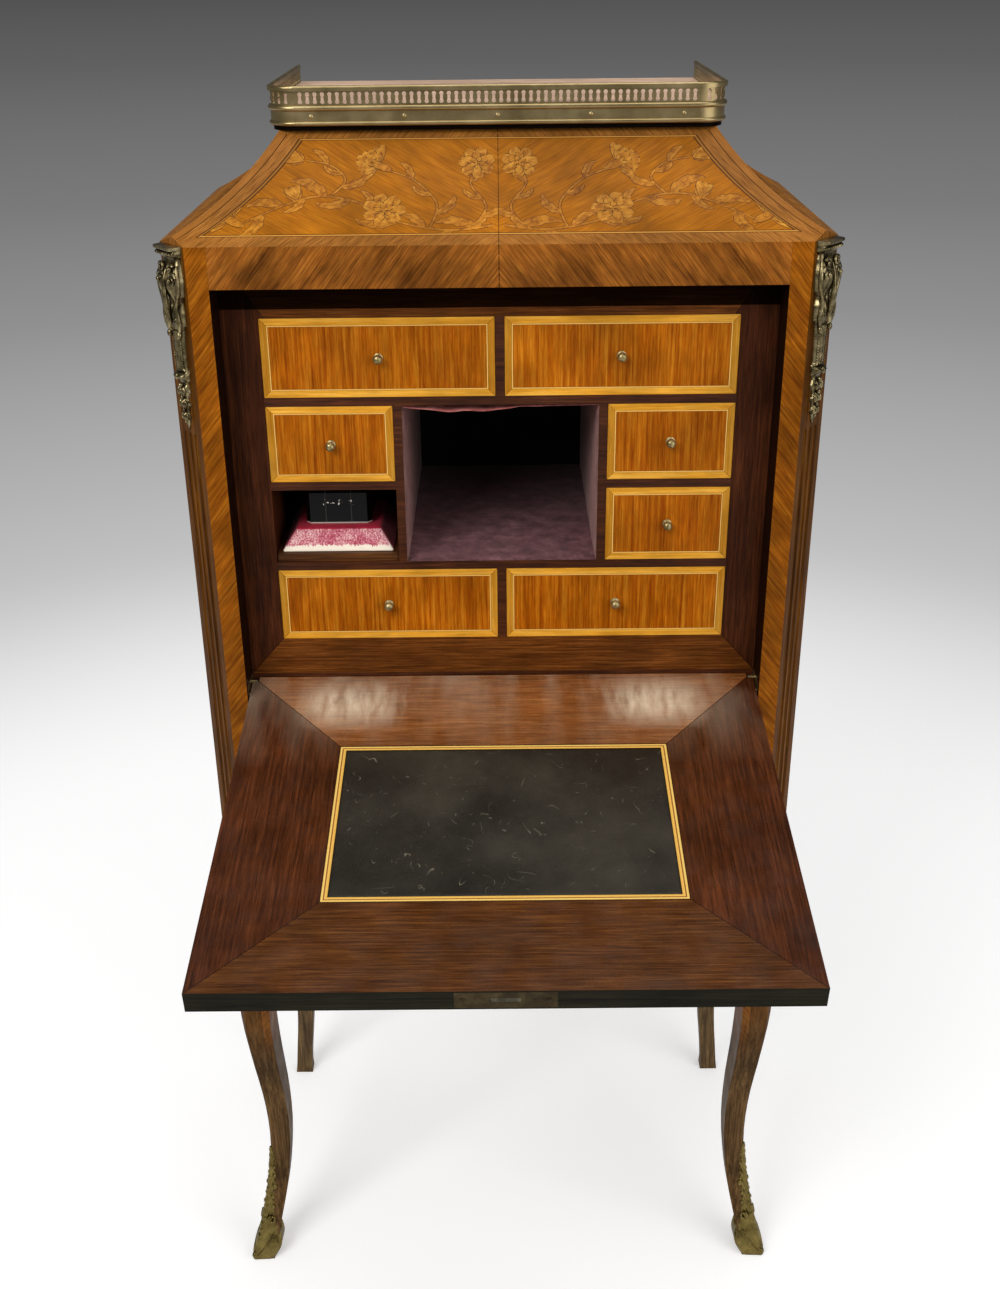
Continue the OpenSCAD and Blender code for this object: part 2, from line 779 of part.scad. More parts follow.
nest_back_y = back_y;
function row_z(i) = nest_z + i * (row_h + shelf_t);
column_x = half_middle + shelf_t;
module nest_boards() color(rosewood) placed() {
    // Board behind the hinged edge, and the two sides of the nest
    block([-half_open, frame_y, sill_z], [half_open, frame_y + frame_t, sill_z + kick_h]);
    both_sides() block([half_nest, frame_y + frame_t, sill_z],
        [half_nest + shelf_t, nest_back_y, nest_top_z + shelf_t]);
    // Floor and ceiling of the nest, behind the frame
    block([-half_nest, frame_y + frame_t, nest_z - shelf_t], [half_nest, nest_back_y, nest_z]);
    block([-half_nest, frame_y + frame_t, nest_top_z],
        [half_nest, nest_back_y, nest_top_z + shelf_t]);
    // The two shelves that run right across
    for (i = [1, 3])
        block([-half_nest, frame_y, row_z(i) - shelf_t], [half_nest, nest_back_y, row_z(i)]);
}
module nest_dividers() color(rosewood) placed() {
    // Short uprights between the paired drawers
    for (i = [0, 3])
        block([-shelf_t / 2, frame_y, row_z(i)], [shelf_t / 2, nest_back_y, row_z(i) + row_h]);
    both_sides() {
        block([half_middle, frame_y, row_z(1)], [column_x, nest_back_y, row_z(2) + row_h]);
        block([column_x, frame_y, row_z(2) - shelf_t], [half_nest, nest_back_y, row_z(2)]);
    }
}
middle_z = row_z(1);
middle_top_z = row_z(2) + row_h;
module velvet_lining() color(mauve) placed() difference() {
    block([-half_middle, frame_y + 1, middle_z], [half_middle, nest_back_y, middle_top_z]);
    block([-half_middle + velvet_t, frame_y, middle_z + velvet_t],
        [half_middle - velvet_t, nest_back_y - velvet_t, middle_top_z - velvet_t]);
}

// Hinge plates let into the jambs, each with a stud that stops the fall
plate_low = [pivot_y - 8, pivot_z - 12];
plate_high = [frame_y - 2, pivot_z + 14];
module jamb_plate_space() {
    block([half_open - eps, plate_low.x, plate_low.y],
        [half_open + jamb_plate_t, plate_high.x, plate_high.y]);
}
stud_r = 2;
stud_gap = 0.3;
notch_w = 6;
notch_l = 8;
notch_t = 4;
// How far the stud reaches in over the end of the fall
stud_over = notch_w - 1.5;
stud_at = [fall_t - notch_t + stud_r + stud_gap, fall_z + 5];
module pivot_plates() color(brass) placed() both_sides() {
    difference() {
        block([half_open, plate_low.x, plate_low.y],
            [half_open + jamb_plate_t, plate_high.x, plate_high.y]);
        translate([half_open - over, pivot_y, pivot_z]) rotate([0, 90, 0])
            cylinder(r = pin_r + pin_clearance, h = jamb_plate_t + 2 * over);
    }
    let_down() translate([half_fall - stud_over, stud_at.x, stud_at.y]) rotate([0, 90, 0])
        cylinder(r = stud_r, h = half_open - half_fall + stud_over + over);
}

bolt_y = fall_t / 2;
bolt_travel = 7;
bolt_room = 2;
strike_w = bolt_w * 11 / 6;
strike_margin = 4;
strike_gap = 1;
module strike_space() {
    block([-strike_w / 2, bolt_y - bolt_t / 2 - strike_margin, head_z - eps],
        [strike_w / 2, bolt_y + bolt_t / 2 + strike_margin, head_z + plate_t]);
}
module strike_plate() color(brass) placed() difference() {
    block([-strike_w / 2, bolt_y - bolt_t / 2 - strike_margin, head_z],
        [strike_w / 2, bolt_y + bolt_t / 2 + strike_margin, head_z + plate_t]);
    block([-bolt_w / 2 - strike_gap, bolt_y - bolt_t / 2 - strike_gap, head_z - over],
        [bolt_w / 2 + strike_gap, bolt_y + bolt_t / 2 + strike_gap, head_z + plate_t + over]);
}

// The fall is drawn shut, upright in its opening, and then let down about its hinge line
module let_down() {
    translate([0, pivot_y, pivot_z]) rotate([open_angle, 0, 0])
        translate([0, -pivot_y, -pivot_z]) children();
}
tail_chamfer = pivot_y - (fall_t - pivot_y);
module fall_tail_cuts() {
    // The outer corner of the hinged edge is eased so that it clears the sill
    sideways(-half_fall - over, half_fall + over) polygon([
        [-over, fall_z - over], [tail_chamfer, fall_z - over], [tail_chamfer, fall_z],
        [0, fall_z + tail_chamfer], [-over, fall_z + tail_chamfer]
    ]);
    // Notches that come up under the studs
    both_sides() block([half_fall - notch_w, fall_t - notch_t, fall_z - over],
        [half_fall + over, fall_t + over, fall_z + notch_l]);
}
key_z = fall_top_z - plate_t - lock_case_h / 2;
key_r = 2.6;
key_slot = [2.4, 9];
module keyhole(y0, y1) {
    translate([0, y1, key_z]) rotate([90, 0, 0]) cylinder(r = key_r, h = y1 - y0, $fn = eye_fn);
    block([-key_slot.x / 2, y0, key_z - key_slot.y], [key_slot.x / 2, y1, key_z]);
}
end_plate_t = 2;
end_plate_low = [pivot_y - 7, pivot_z - 11];
end_plate_high = [fall_t - 2, pivot_z + 1.4 * fall_t];
lock_half = bolt_w / 2 + 18;
lock_wall = 2.5;
lock_case_y0 = bolt_y - bolt_t / 2 - lock_wall;
lock_case_y1 = bolt_y + bolt_t / 2 + lock_wall;
module fall_board() color(ebonised) placed() let_down() difference() {
    block([-half_fall, veneer_t, fall_z], [half_fall, fall_t - veneer_t, fall_top_z]);
    fall_tail_cuts();
    both_sides() block([half_fall - end_plate_t, end_plate_low.x, end_plate_low.y],
        [half_fall + over, end_plate_high.x, end_plate_high.y]);
    block([-lock_w / 2, 0, fall_top_z - plate_t], [lock_w / 2, fall_t, fall_top_z + over]);
    block([-lock_half, lock_case_y0, fall_top_z - plate_t - lock_case_h],
        [lock_half, lock_case_y1, fall_top_z]);
    keyhole(0, lock_case_y0 + over);
}
// Inner face: four mitred boards round the leather
half_leather = leather_w / 2;
leather_z0 = fall_z + leather_back;
leather_z1 = fall_top_z - leather_front;
module fall_border() color(rosewood) placed() let_down() difference() {
    union() {
        upright(fall_t - veneer_t, fall_t) polygon([
            [-half_fall, fall_z], [half_fall, fall_z],
            [half_leather, leather_z0], [-half_leather, leather_z0]
        ]);
        upright(fall_t - veneer_t, fall_t) polygon([
            [-half_fall, fall_top_z], [-half_leather, leather_z1],
            [half_leather, leather_z1], [half_fall, fall_top_z]
        ]);
        both_sides() upright(fall_t - veneer_t, fall_t) polygon([
            [half_fall, fall_z], [half_fall, fall_top_z],
            [half_leather, leather_z1], [half_leather, leather_z0]
        ]);
    }
    fall_tail_cuts();
}
leather_sink = 0.3;
module fall_leather() color(hide) placed() let_down() block(
    [-half_leather + string_w, fall_t - veneer_t, leather_z0 + string_w],
    [half_leather - string_w, fall_t - leather_sink, leather_z1 - string_w]);
module fall_stringing() color(satinwood) placed() let_down() upright(fall_t - veneer_t, fall_t)
    difference() {
        translate([-half_leather, leather_z0]) square([leather_w, leather_z1 - leather_z0]);
        translate([-half_leather + string_w, leather_z0 + string_w])
            square([leather_w - 2 * string_w, leather_z1 - leather_z0 - 2 * string_w]);
    }
// Outer face: four quarters inside a mitred band
band_w = 38;
module fall_face() color(kingwood) placed() let_down() difference() {
    mid_z = (fall_z + fall_top_z) / 2;
    x0 = half_fall - band_w;
    z0 = fall_z + band_w;
    z1 = fall_top_z - band_w;
    union() {
        both_sides() {
            block([0, 0, z0], [x0, veneer_t, mid_z]);
            block([0, 0, mid_z], [x0, veneer_t, z1]);
            upright(0, veneer_t) polygon([
                [half_fall, fall_z], [half_fall, fall_top_z], [x0, z1], [x0, z0]
            ]);
        }
        upright(0, veneer_t)
            polygon([[-half_fall, fall_z], [half_fall, fall_z], [x0, z0], [-x0, z0]]);
        upright(0, veneer_t)
            polygon([[-half_fall, fall_top_z], [-x0, z1], [x0, z1], [half_fall, fall_top_z]]);
    }
    fall_tail_cuts();
    keyhole(-over, veneer_t + over);
}
module fall_pivots() color(brass) placed() let_down() both_sides() {
    block([half_fall - end_plate_t, end_plate_low.x, end_plate_low.y],
        [half_fall, end_plate_high.x, end_plate_high.y]);
    translate([half_fall - over, pivot_y, pivot_z]) rotate([0, 90, 0])
        cylinder(r = pin_r, h = over + fall_gap + jamb_plate_t + pin_reach - pin_slack);
}

slide_gap = 0.3;
module bolt_block(grow) {
    block([-bolt_w / 2 - grow, bolt_y - bolt_t / 2 - grow, fall_top_z - bolt_l - grow],
        [bolt_w / 2 + grow, bolt_y + bolt_t / 2 + grow, fall_top_z + grow]);
}
module lock_body() color(brass) placed() let_down() difference() {
    union() {
        block([-lock_w / 2, veneer_t, fall_top_z - plate_t],
            [lock_w / 2, fall_t - veneer_t, fall_top_z]);
        block([-lock_half, lock_case_y0, fall_top_z - plate_t - lock_case_h],
            [lock_half, lock_case_y1, fall_top_z - plate_t]);
    }
    bolt_block(slide_gap);
}
module lock_bolt() color(steel) placed() let_down() bolt_block(0);
// Three lobes on a thin plate round the keyhole: each its height above the key, and its radius
escutcheon_t = 1.2;
escutcheon_lobes = [[-9, 6], [0, 8], [8, 4]];
module escutcheon() color(bronze) placed() let_down() difference() {
    upright(-escutcheon_t, 0) for (lobe = escutcheon_lobes)
        translate([0, key_z + lobe.x]) circle(r = lobe.y);
    keyhole(-escutcheon_t - over, over);
}

// Fitted ink tray in the open pigeonhole on the left
tray_gap = 0.7;
tray_x = -(column_x + half_nest) / 2;
tray_z = row_z(1) + runner_gap;
tray_in = 3;
tray_y = frame_y + tray_in;
plinth_z = tray_z + tray_t;
plinth_y = tray_y + tray_in + plinth_w / 2;
module ink_tray() color(rosewood) placed() block(
    [-half_nest + tray_gap, tray_y, tray_z], [-column_x - tray_gap, tray_y + tray_d, plinth_z]);
module ink_plinth() color(crimson) placed() translate([tray_x, plinth_y, plinth_z]) {
    linear_extrude(plinth_h, scale = plinth_top_w / plinth_w) square(plinth_w, center = true);
}
// A square well with its four upright edges cut off, and a round neck
well_cut = 4;
well_floor = 6;
module inkwell() color(glass) placed() translate([tray_x, plinth_y, plinth_z + plinth_h]) {
    h = well_w / 2;
    c = h - well_cut;
    difference() {
        union() {
            linear_extrude(well_h)
                polygon([[h, -c], [h, c], [c, h], [-c, h], [-h, c], [-h, -c], [-c, -h], [c, -h]]);
            translate([0, 0, well_h]) cylinder(r = neck_r, h = neck_h);
        }
        translate([0, 0, well_floor]) cylinder(r = well_bore_r, h = well_h + neck_h);
    }
}

side_clearance = 0.7;
rim_drop = 7;
// A box open at the top, with a thicker front that stands a little above it
module drawer(low, high, front, side, bottom, length) {
    back = low.y + length;
    front_back = low.y + front;
    x0 = low.x + side_clearance;
    x1 = high.x - side_clearance;
    box_top = high.z - rim_drop;
    block(low, [high.x, front_back, high.z]);
    block([x0, front_back, low.z], [x0 + side, back, box_top]);
    block([x1 - side, front_back, low.z], [x1, back, box_top]);
    block([x0 + side, back - side, low.z], [x1 - side, back, box_top]);
    block([x0 + side, front_back, low.z], [x1 - side, back - side, low.z + bottom]);
}
// A turned knob; its axis points out of the front of the drawer
module knob(r) {
    rotate([90, 0, 0]) rotate_extrude() polygon(concat(
        [[0, 0], [r * 0.95, 0], [r * 0.95, r * 0.22], [r * 0.5, r * 0.4], [r * 0.42, r * 0.9]],
        [for (a = [-50 : 10 : 80]) [r * cos(a), r * 1.66 + r * 0.86 * sin(a)]],
        [[0, r * 2.52]]
    ));
}
drawer_y = frame_y + drawer_gap;
drawer_l = back_y - drawer_room - drawer_y;
// Small drawers fill the openings from x0 to x1 in a row
module small_drawer(x0, x1, row) {
    drawer([x0 + drawer_gap, drawer_y, row_z(row) + runner_gap],
        [x1 - drawer_gap, drawer_y, row_z(row) + row_h - drawer_gap],
        front_t, drawer_side_t, drawer_bottom_t, drawer_l);
}
module small_knob(x0, x1, row) {
    translate([(x0 + x1) / 2, drawer_y, row_z(row) + row_h / 2]) knob(knob_r);
}
inner_x = shelf_t / 2;
module drawer_top_left() color(tulipwood) placed() small_drawer(-half_nest, -inner_x, 3);
module drawer_top_right() color(tulipwood) placed() small_drawer(inner_x, half_nest, 3);
module drawer_mid_left() color(tulipwood) placed() small_drawer(-half_nest, -column_x, 2);
module drawer_mid_right() color(tulipwood) placed() small_drawer(column_x, half_nest, 2);
module drawer_low_right() color(tulipwood) placed() small_drawer(column_x, half_nest, 1);
module drawer_foot_left() color(tulipwood) placed() small_drawer(-half_nest, -inner_x, 0);
module drawer_foot_right() color(tulipwood) placed() small_drawer(inner_x, half_nest, 0);
module knob_top_left() color(brass) placed() small_knob(-half_nest, -inner_x, 3);
module knob_top_right() color(brass) placed() small_knob(inner_x, half_nest, 3);
module knob_mid_left() color(brass) placed() small_knob(-half_nest, -column_x, 2);
module knob_mid_right() color(brass) placed() small_knob(column_x, half_nest, 2);
module knob_low_right() color(brass) placed() small_knob(column_x, half_nest, 1);
module knob_foot_left() color(brass) placed() small_knob(-half_nest, -inner_x, 0);
module knob_foot_right() color(brass) placed() small_knob(inner_x, half_nest, 0);

long_gap = 1;
module long_drawer() color(kingwood) placed() drawer(
    [-half_open + long_gap, 0, long_z + runner_gap],
    [half_open - long_gap, 0, lower_rail_z - drawer_gap],
    long_front_t, long_side_t, drawer_bottom_t, back_y - long_room);
module long_drawer_knobs() color(brass) placed() both_sides()
    translate([long_knob_x, 0, long_z + long_h / 2]) knob(long_knob_r);

post_front_left();
post_front_right();
leg_back_left();
leg_back_right();
side_left();
side_right();
back_panel();
frieze_rail();
lower_rail();
apron();
bottom_board();
dust_board();
case_top();
drawer_guides();
cove_front();
cove_left();
cove_right();
top_board();
gallery_band();
gallery_fret();
gallery_rail();
gallery_screws();
corner_mounts();
sabots();
inner_frame();
nest_boards();
nest_dividers();
velvet_lining();
pivot_plates();
strike_plate();
fall_board();
fall_border();
fall_face();
fall_leather();
fall_stringing();
fall_pivots();
lock_body();
escutcheon();
lock_bolt();
ink_tray();
ink_plinth();
inkwell();
drawer_top_left();
knob_top_left();
drawer_top_right();
knob_top_right();
drawer_mid_left();
knob_mid_left();
drawer_mid_right();
knob_mid_right();
drawer_low_right();
knob_low_right();
drawer_foot_left();
knob_foot_left();
drawer_foot_right();
knob_foot_right();
long_drawer();
long_drawer_knobs();
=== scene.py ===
"""Fall-front escritoire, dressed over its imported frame.

The frame gives every board and fitting its place. This script adds the cast mounts, the marquetry,
the velvet, the leather and the small screws, gives each piece its finish, and sets the studio.
"""

from __future__ import annotations

import cmath
import json
import logging
import math
from dataclasses import dataclass, field
from enum import Enum
from functools import cached_property, partial
from typing import Callable, NamedTuple, Sequence

import bpy
from mathutils import Matrix, Vector, noise

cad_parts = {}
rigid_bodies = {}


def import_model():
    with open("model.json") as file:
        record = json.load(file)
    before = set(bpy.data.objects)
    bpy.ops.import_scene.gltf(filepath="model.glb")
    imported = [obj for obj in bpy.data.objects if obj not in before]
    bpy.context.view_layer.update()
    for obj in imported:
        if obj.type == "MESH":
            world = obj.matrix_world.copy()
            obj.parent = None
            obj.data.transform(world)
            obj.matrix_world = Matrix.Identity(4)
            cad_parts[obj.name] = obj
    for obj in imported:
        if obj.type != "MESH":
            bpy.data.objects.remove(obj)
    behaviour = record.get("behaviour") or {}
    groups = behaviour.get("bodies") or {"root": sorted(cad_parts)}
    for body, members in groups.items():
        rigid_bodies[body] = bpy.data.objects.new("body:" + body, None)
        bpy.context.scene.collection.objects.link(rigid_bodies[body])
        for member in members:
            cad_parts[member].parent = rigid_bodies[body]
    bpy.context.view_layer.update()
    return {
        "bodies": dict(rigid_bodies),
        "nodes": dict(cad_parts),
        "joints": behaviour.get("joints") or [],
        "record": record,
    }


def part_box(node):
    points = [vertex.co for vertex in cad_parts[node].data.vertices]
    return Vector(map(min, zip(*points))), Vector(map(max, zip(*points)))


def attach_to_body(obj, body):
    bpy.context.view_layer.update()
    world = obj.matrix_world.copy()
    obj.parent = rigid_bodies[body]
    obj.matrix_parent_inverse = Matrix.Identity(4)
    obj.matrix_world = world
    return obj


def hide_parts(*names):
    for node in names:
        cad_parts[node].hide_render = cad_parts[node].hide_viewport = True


log = logging.getLogger("escritoire")
MM = 0.001

Node = bpy.types.Node
Socket = bpy.types.NodeSocket
Piece = bpy.types.Object
Pairs = Sequence[tuple[float, float]]
Kind = tuple[str, dict[str, object]]

# The kinds of node, each with the settings that go with it
COORDS, SPLIT, JOIN, MAP = ("TexCoord", {}), ("SeparateXYZ", {}), ("CombineXYZ", {}), ("Mapping", {})
NOISE, PEBBLES = ("TexNoise", {}), ("TexVoronoi", {"feature": "SMOOTH_F1"})
HOLLOWS, BUMP = ("AmbientOcclusion", {"samples": 8}), ("Bump", {})
RANGE, EASE = ("MapRange", {}), ("MapRange", {"interpolation_type": "SMOOTHSTEP"})
RAMP, LAY = ("ValToRGB", {}), ("MixRGB", {"blend_type": "MIX"})
TINT = ("MixRGB", {"blend_type": "MULTIPLY"})
PLUS, MINUS = ("Math", {"operation": "ADD"}), ("Math", {"operation": "SUBTRACT"})
TIMES, PART = ("Math", {"operation": "MULTIPLY"}), ("Math", {"operation": "DIVIDE"})
LESS, MORE = ("Math", {"operation": "LESS_THAN"}), ("Math", {"operation": "GREATER_THAN"})
LEAST, MOST = ("Math", {"operation": "MINIMUM"}), ("Math", {"operation": "MAXIMUM"})
SIZE, ANGLE = ("Math", {"operation": "ABSOLUTE"}), ("Math", {"operation": "ARCTAN2"})
LOG, LENGTH = ("Math", {"operation": "LOGARITHM"}), ("VectorMath", {"operation": "LENGTH"})
SURFACE, OUTPUT, RAYS = ("BsdfPrincipled", {}), ("OutputMaterial", {}), ("LightPath", {})
GLOW, BLEND = ("Emission", {}), ("MixShader", {})
SKY, SKY_OUTPUT = ("Background", {}), ("OutputWorld", {})


def linear(code: str) -> tuple[float, float, float, float]:
    """Turns an sRGB hex colour into linear red, green and blue, with full opacity."""
    parts = [int(code[i : i + 2], 16) / 255 for i in (1, 3, 5)]
    return *(c / 12.92 if c <= 0.04045 else ((c + 0.055) / 1.055) ** 2.4 for c in parts), 1.0


class Graph:
    """The node tree of one finish, or of the world."""

    def __init__(self, owner: bpy.types.Material | bpy.types.World) -> None:
        """Starts an empty tree.

        Args:
            owner: the material or world.
        """
        owner.use_nodes = True
        self.owner = owner
        self.tree = owner.node_tree
        self.tree.nodes.clear()

    @cached_property
    def point(self) -> Socket:
        """Gives the place on the piece, in metres."""
        return self.add(COORDS).outputs["Object"]

    @cached_property
    def xyz(self) -> Sequence[Socket]:
        """Gives the place's three parts."""
        return self.add(SPLIT, self.point).outputs

    @cached_property
    def side(self) -> Node:
        """Gives the distance from the middle of the case."""
        return self.add(SIZE, self.xyz[0])

    @cached_property
    def folded(self) -> Node:
        """Gives the place, folded over the middle of the case."""
        return self.add(JOIN, self.side, *self.xyz[1:])

    def add(self, kind: Kind, *feeds: object, **more: object) -> Node:
        """Adds a node.

        Args:
            kind: the node's type and the settings that go with it.
            feeds: what its first inputs take: numbers, hex colours, sockets or nodes.
            more: its other inputs, named with a capital, its other settings, and a ramp's stops.

        Returns:
            The new node.
        """
        node = self.tree.nodes.new(f"ShaderNode{kind[0]}")
        inputs = dict(enumerate(feeds))
        for key, value in (kind[1] | more).items():
            if key == "stops":
                while len(node.color_ramp.elements) < len(value):
                    node.color_ramp.elements.new(0.5)
                for element, (place, code) in zip(node.color_ramp.elements, value):
                    element.position, element.color = place, linear(code)
            elif key[0].isupper():
                inputs[key.replace("_", " ")] = value
            else:
                setattr(node, key, value)
        for key, value in inputs.items():
            value = linear(value) if isinstance(value, str) else value
            value = value.outputs[0] if isinstance(value, Node) else value
            if isinstance(value, Socket):
                self.tree.links.new(value, node.inputs[key])
            else:
                node.inputs[key].default_value = value
        return node

    def streaks(self, along: object, scale: Sequence[float], **more: object) -> Node:
        """Draws a noise whose cells are drawn out, with so many cells to the metre each way."""
        return self.add(NOISE, self.add(MAP, along, Scale=scale), Scale=1.0, **more)

    def seen(self) -> Node:
        """Tells rays that show a thing, straight or by a mirror or glass, from those that light it.

        Returns:
            The share: 1 for the rays that show it.
        """
        rays = self.add(RAYS).outputs
        straight = self.add(MOST, rays["Is Camera Ray"], rays["Is Glossy Ray"])
        return self.add(MOST, straight, rays["Is Transmission Ray"])

    def off(self, value: object, middle: object) -> Node:
        """Gives how far a value is from a middle."""
        return self.add(SIZE, self.add(MINUS, value, middle))

    def inlay(self, colour: object, depth: object, *lines: tuple[float, object]) -> Node:
        """Lays bands inside one another.

        Args:
            colour: the ground.
            depth: how far a point is from the edge.
            lines: how far in each band reaches and its colour, from the widest.

        Returns:
            The colour.
        """
        for reach, line in lines:
            colour = self.add(LAY, self.add(LESS, depth, reach), colour, line)
        return colour

    def polish(
        self, colour: object, height: object, depth_mm: float, rough: tuple[float, float], shine: object
    ) -> None:
        """Ends the tree in a polished surface.

        Args:
            colour: the colour.
            height: the relief, from 0 to 1.
            depth_mm: how deep the relief is.
            rough: the lowest and highest roughness.
            shine: how much the polish reflects; old wax reflects less than glass.
        """
        worn = self.add(NOISE, self.point, Scale=38.0, Detail=4.0)
        bump = self.add(BUMP, Height=height, Distance=depth_mm * MM, Strength=0.6)
        worn = self.add(RANGE, worn, 0.35, 0.68, *rough)
        self.add(OUTPUT, self.add(SURFACE, colour, Roughness=worn, Normal=bump, Specular_IOR_Level=shine))


class Grain(Enum):
    """Which way the fibres run, seen from the front, in degrees from X towards Z."""

    ACROSS = 0.0
    UPRIGHT = 90.0
    FALLING = -52.0
    RISING = 50.0
    SLANTING = 34.0


@dataclass(frozen=True)
class Wood:
    """A sliced veneer or board: its tones, and the real width and length of its stripes and pores."""

    dark: str
    middle: str
    light: str
    stripe_mm: float
    run_mm: float
    pore_mm: float
    contrast: float = 0.16
    pore_depth: float = 0.45
    cloud: float = 0.28
    mottle: float = 0.1

    def paint(self, graph: Graph, along: object, grain: Grain = Grain.ACROSS) -> tuple[Node, Node]:
        """Draws the wood.

        Args:
            graph: the tree.
            along: the place in metres, on a face seen from the front.
            grain: which way the fibres run on it.

        Returns:
            The colour, and the pores as a relief.
        """
        add = graph.add
        if grain is not Grain.ACROSS:
            along = add(MAP, along, Rotation=(0, math.radians(grain.value), 0))
        wide = 1 / (self.stripe_mm * MM)
        fine = 1 / (self.pore_mm * MM)
        stripes = graph.streaks(
            along, (1 / (self.run_mm * MM), wide, wide), Detail=6.0, Roughness=0.62, Distortion=0.35
        )
        low, high = 0.5 - self.contrast, 0.5 + self.contrast
        tone = add(RAMP, stripes, stops=[(low, self.dark), (0.5, self.middle), (high, self.light)])
        # Pores 28 times as long as they are wide
        pores = graph.streaks(along, (fine / 28, fine, fine), Detail=2.0, Roughness=0.7)
        pores = add(RANGE, pores, 0.36, 0.56, 1 - self.pore_depth, 1.0)
        drift = add(NOISE, graph.point, Scale=14.0, Detail=3.0)
        drift = add(RANGE, drift, 0.3, 0.7, 1 - self.cloud, 1 + self.cloud)
        # The light catches the fibres in soft patches, 9 mm wide and 26 mm long
        patch = graph.streaks(along, (38, 110, 110), Detail=3.0)
        patch = add(RANGE, patch, 0.32, 0.68, 1 - self.mottle, 1 + self.mottle)
        return add(TINT, 1.0, tone, add(TIMES, add(TIMES, pores, drift), patch)), pores


# Sliced, glued down and polished: brown stripes that change with the light, under a thin gloss
KINGWOOD = Wood("#512909", "#784416", "#985e22", 1.7, 42, 0.7, 0.23, 0.3, 0.34, 0.28)
FRIEZE_WOOD = Wood("#5a2f0b", "#8a5019", "#ac6c27", 1.5, 36, 0.7, 0.24, 0.3, 0.4, 0.34)
STILE_WOOD = Wood("#683204", "#8c4d0a", "#a96716", 1.7, 40, 0.7, 0.22, 0.3, 0.28, 0.22)
CANT_WOOD = Wood("#462604", "#61380a", "#7e4e16", 3.0, 150, 0.7, 0.16, 0.35, 0.2)
GOLDEN = Wood("#7e4408", "#96590c", "#ac6c14", 2.0, 40, 0.8, 0.27, 0.2, 0.24, 0.16)
BORDER = Wood("#6e3f14", "#8c5922", "#a46c30", 1.5, 22, 0.6, 0.16, 0.25, 0.24)
TULIPWOOD = Wood("#8c3e03", "#b05e08", "#cb7e1c", 2.3, 80, 0.5, 0.19, 0.3, 0.2, 0.14)
OCHRE = Wood("#cf8a20", "#e6a132", "#f6b84a", 3.0, 90, 0.5, 0.18, 0.14, 0.14)
# Open-pored and dark: a deep red brown with black pores
ROSEWOOD = Wood("#34180a", "#492410", "#5e3118", 2.0, 60, 0.6, 0.18, 0.4, 0.3)
FOOT_ROSEWOOD = Wood("#4a2409", "#663711", "#824b1e", 1.8, 60, 0.6, 0.18, 0.4, 0.26)
WARM_ROSEWOOD = Wood("#3c1f0c", "#532e12", "#6a401c", 1.8, 60, 0.6, 0.18, 0.4, 0.26)
# The fall's hinge member: painted lighter, as the lit drawers reflected in its polish
REAR_ROSEWOOD = Wood("#643413", "#824c25", "#a06a3c", 1.8, 60, 0.6, 0.2, 0.4, 0.2, 0.12)
# Solid and waxed: long quiet fibres, dulled by handling
LEG_WOOD = Wood("#3e2b16", "#573f24", "#6f5433", 3.0, 110, 0.6, 0.15, 0.4, 0.25)
BACK_LEG_WOOD = Wood("#45321b", "#604a2c", "#7c623e", 3.0, 110, 0.6, 0.15, 0.4, 0.25)
# Plain boards: dry bare oak, a top that light has bleached, and a wood stained black
OAK = Wood("#7c5a34", "#9c7548", "#b48c5c", 4.0, 140, 0.7, 0.16, 0.3, 0.15)
PALE_TOP = Wood("#b4927a", "#d2ae94", "#e6c8ac", 4.0, 150, 0.7, 0.16, 0.2, 0.12)
EBONISED = Wood("#0f0e07", "#1c1a0e", "#2a2717", 2.0, 90, 0.6, 0.18, 0.35, 0.3)
# Along the fall's free edge the black stain has run over the cut of the veneer
EDGE_BLACK = "#1a180d"
EDGE_WIDTH = 0.25 * MM


@dataclass(frozen=True)
class Finish:
    """What every finish has: a name, and a way to draw itself."""

    name: str

    def draw(self, graph: Graph) -> None:
        """Draws the finish in its tree."""
        raise NotImplementedError

    @cached_property
    def material(self) -> bpy.types.Material:
        """Builds the material, once.

        Returns:
            The material.
        """
        graph = Graph(bpy.data.materials.new(self.name))
        self.draw(graph)
        return graph.owner


@dataclass(frozen=True)
class PlainWood(Finish):
    """One wood all over, with its fibres one way. Upright boards are seen from the front."""

    wood: Wood
    grain: Grain
    rough: tuple[float, float] = (0.32, 0.5)
    shine: float = 0.2

    def draw(self, graph: Graph) -> None:
        """Draws the wood."""
        graph.polish(*self.wood.paint(graph, graph.point, self.grain), 0.08, self.rough, self.shine)


@dataclass(frozen=True)
class TopVeneer(Finish):
    """The pale top inside the gallery, whose edge under the brass band is painted near black as the band's
    shadow.
    """

    corner: Vector

    def draw(self, graph: Graph) -> None:
        """Draws the top.

        Args:
            graph: the tree.
        """
        add = graph.add
        colour, pores = PALE_TOP.paint(graph, graph.point)
        _, y, z = graph.xyz
        # Painted shadow: the edge under the band is drawn near black
        edge = add(TIMES, add(LESS, z, self.corner.z - 0.6 * MM), add(LESS, y, self.corner.y - 1 * MM))
        colour = add(LAY, edge, colour, "#0d0704")
        graph.polish(colour, pores, 0.05, (0.3, 0.45), add(RANGE, edge, 0, 1, 0.3, 0.02))


@dataclass(frozen=True)
class MatchedVeneer(Finish):
    """Polished veneer laid in mirrored halves, with a fine dark joint in the middle."""

    wood: Wood
    grain: Grain
    joint: float = 0.35 * MM

    def draw(self, graph: Graph) -> None:
        """Draws the two halves.

        Args:
            graph: the tree.
        """
        colour, pores = self.wood.paint(graph, graph.folded, self.grain)
        colour = graph.inlay(colour, graph.side, (self.joint, "#1d0f05"))
        graph.polish(colour, pores, 0.08, (0.28, 0.44), 0.09)


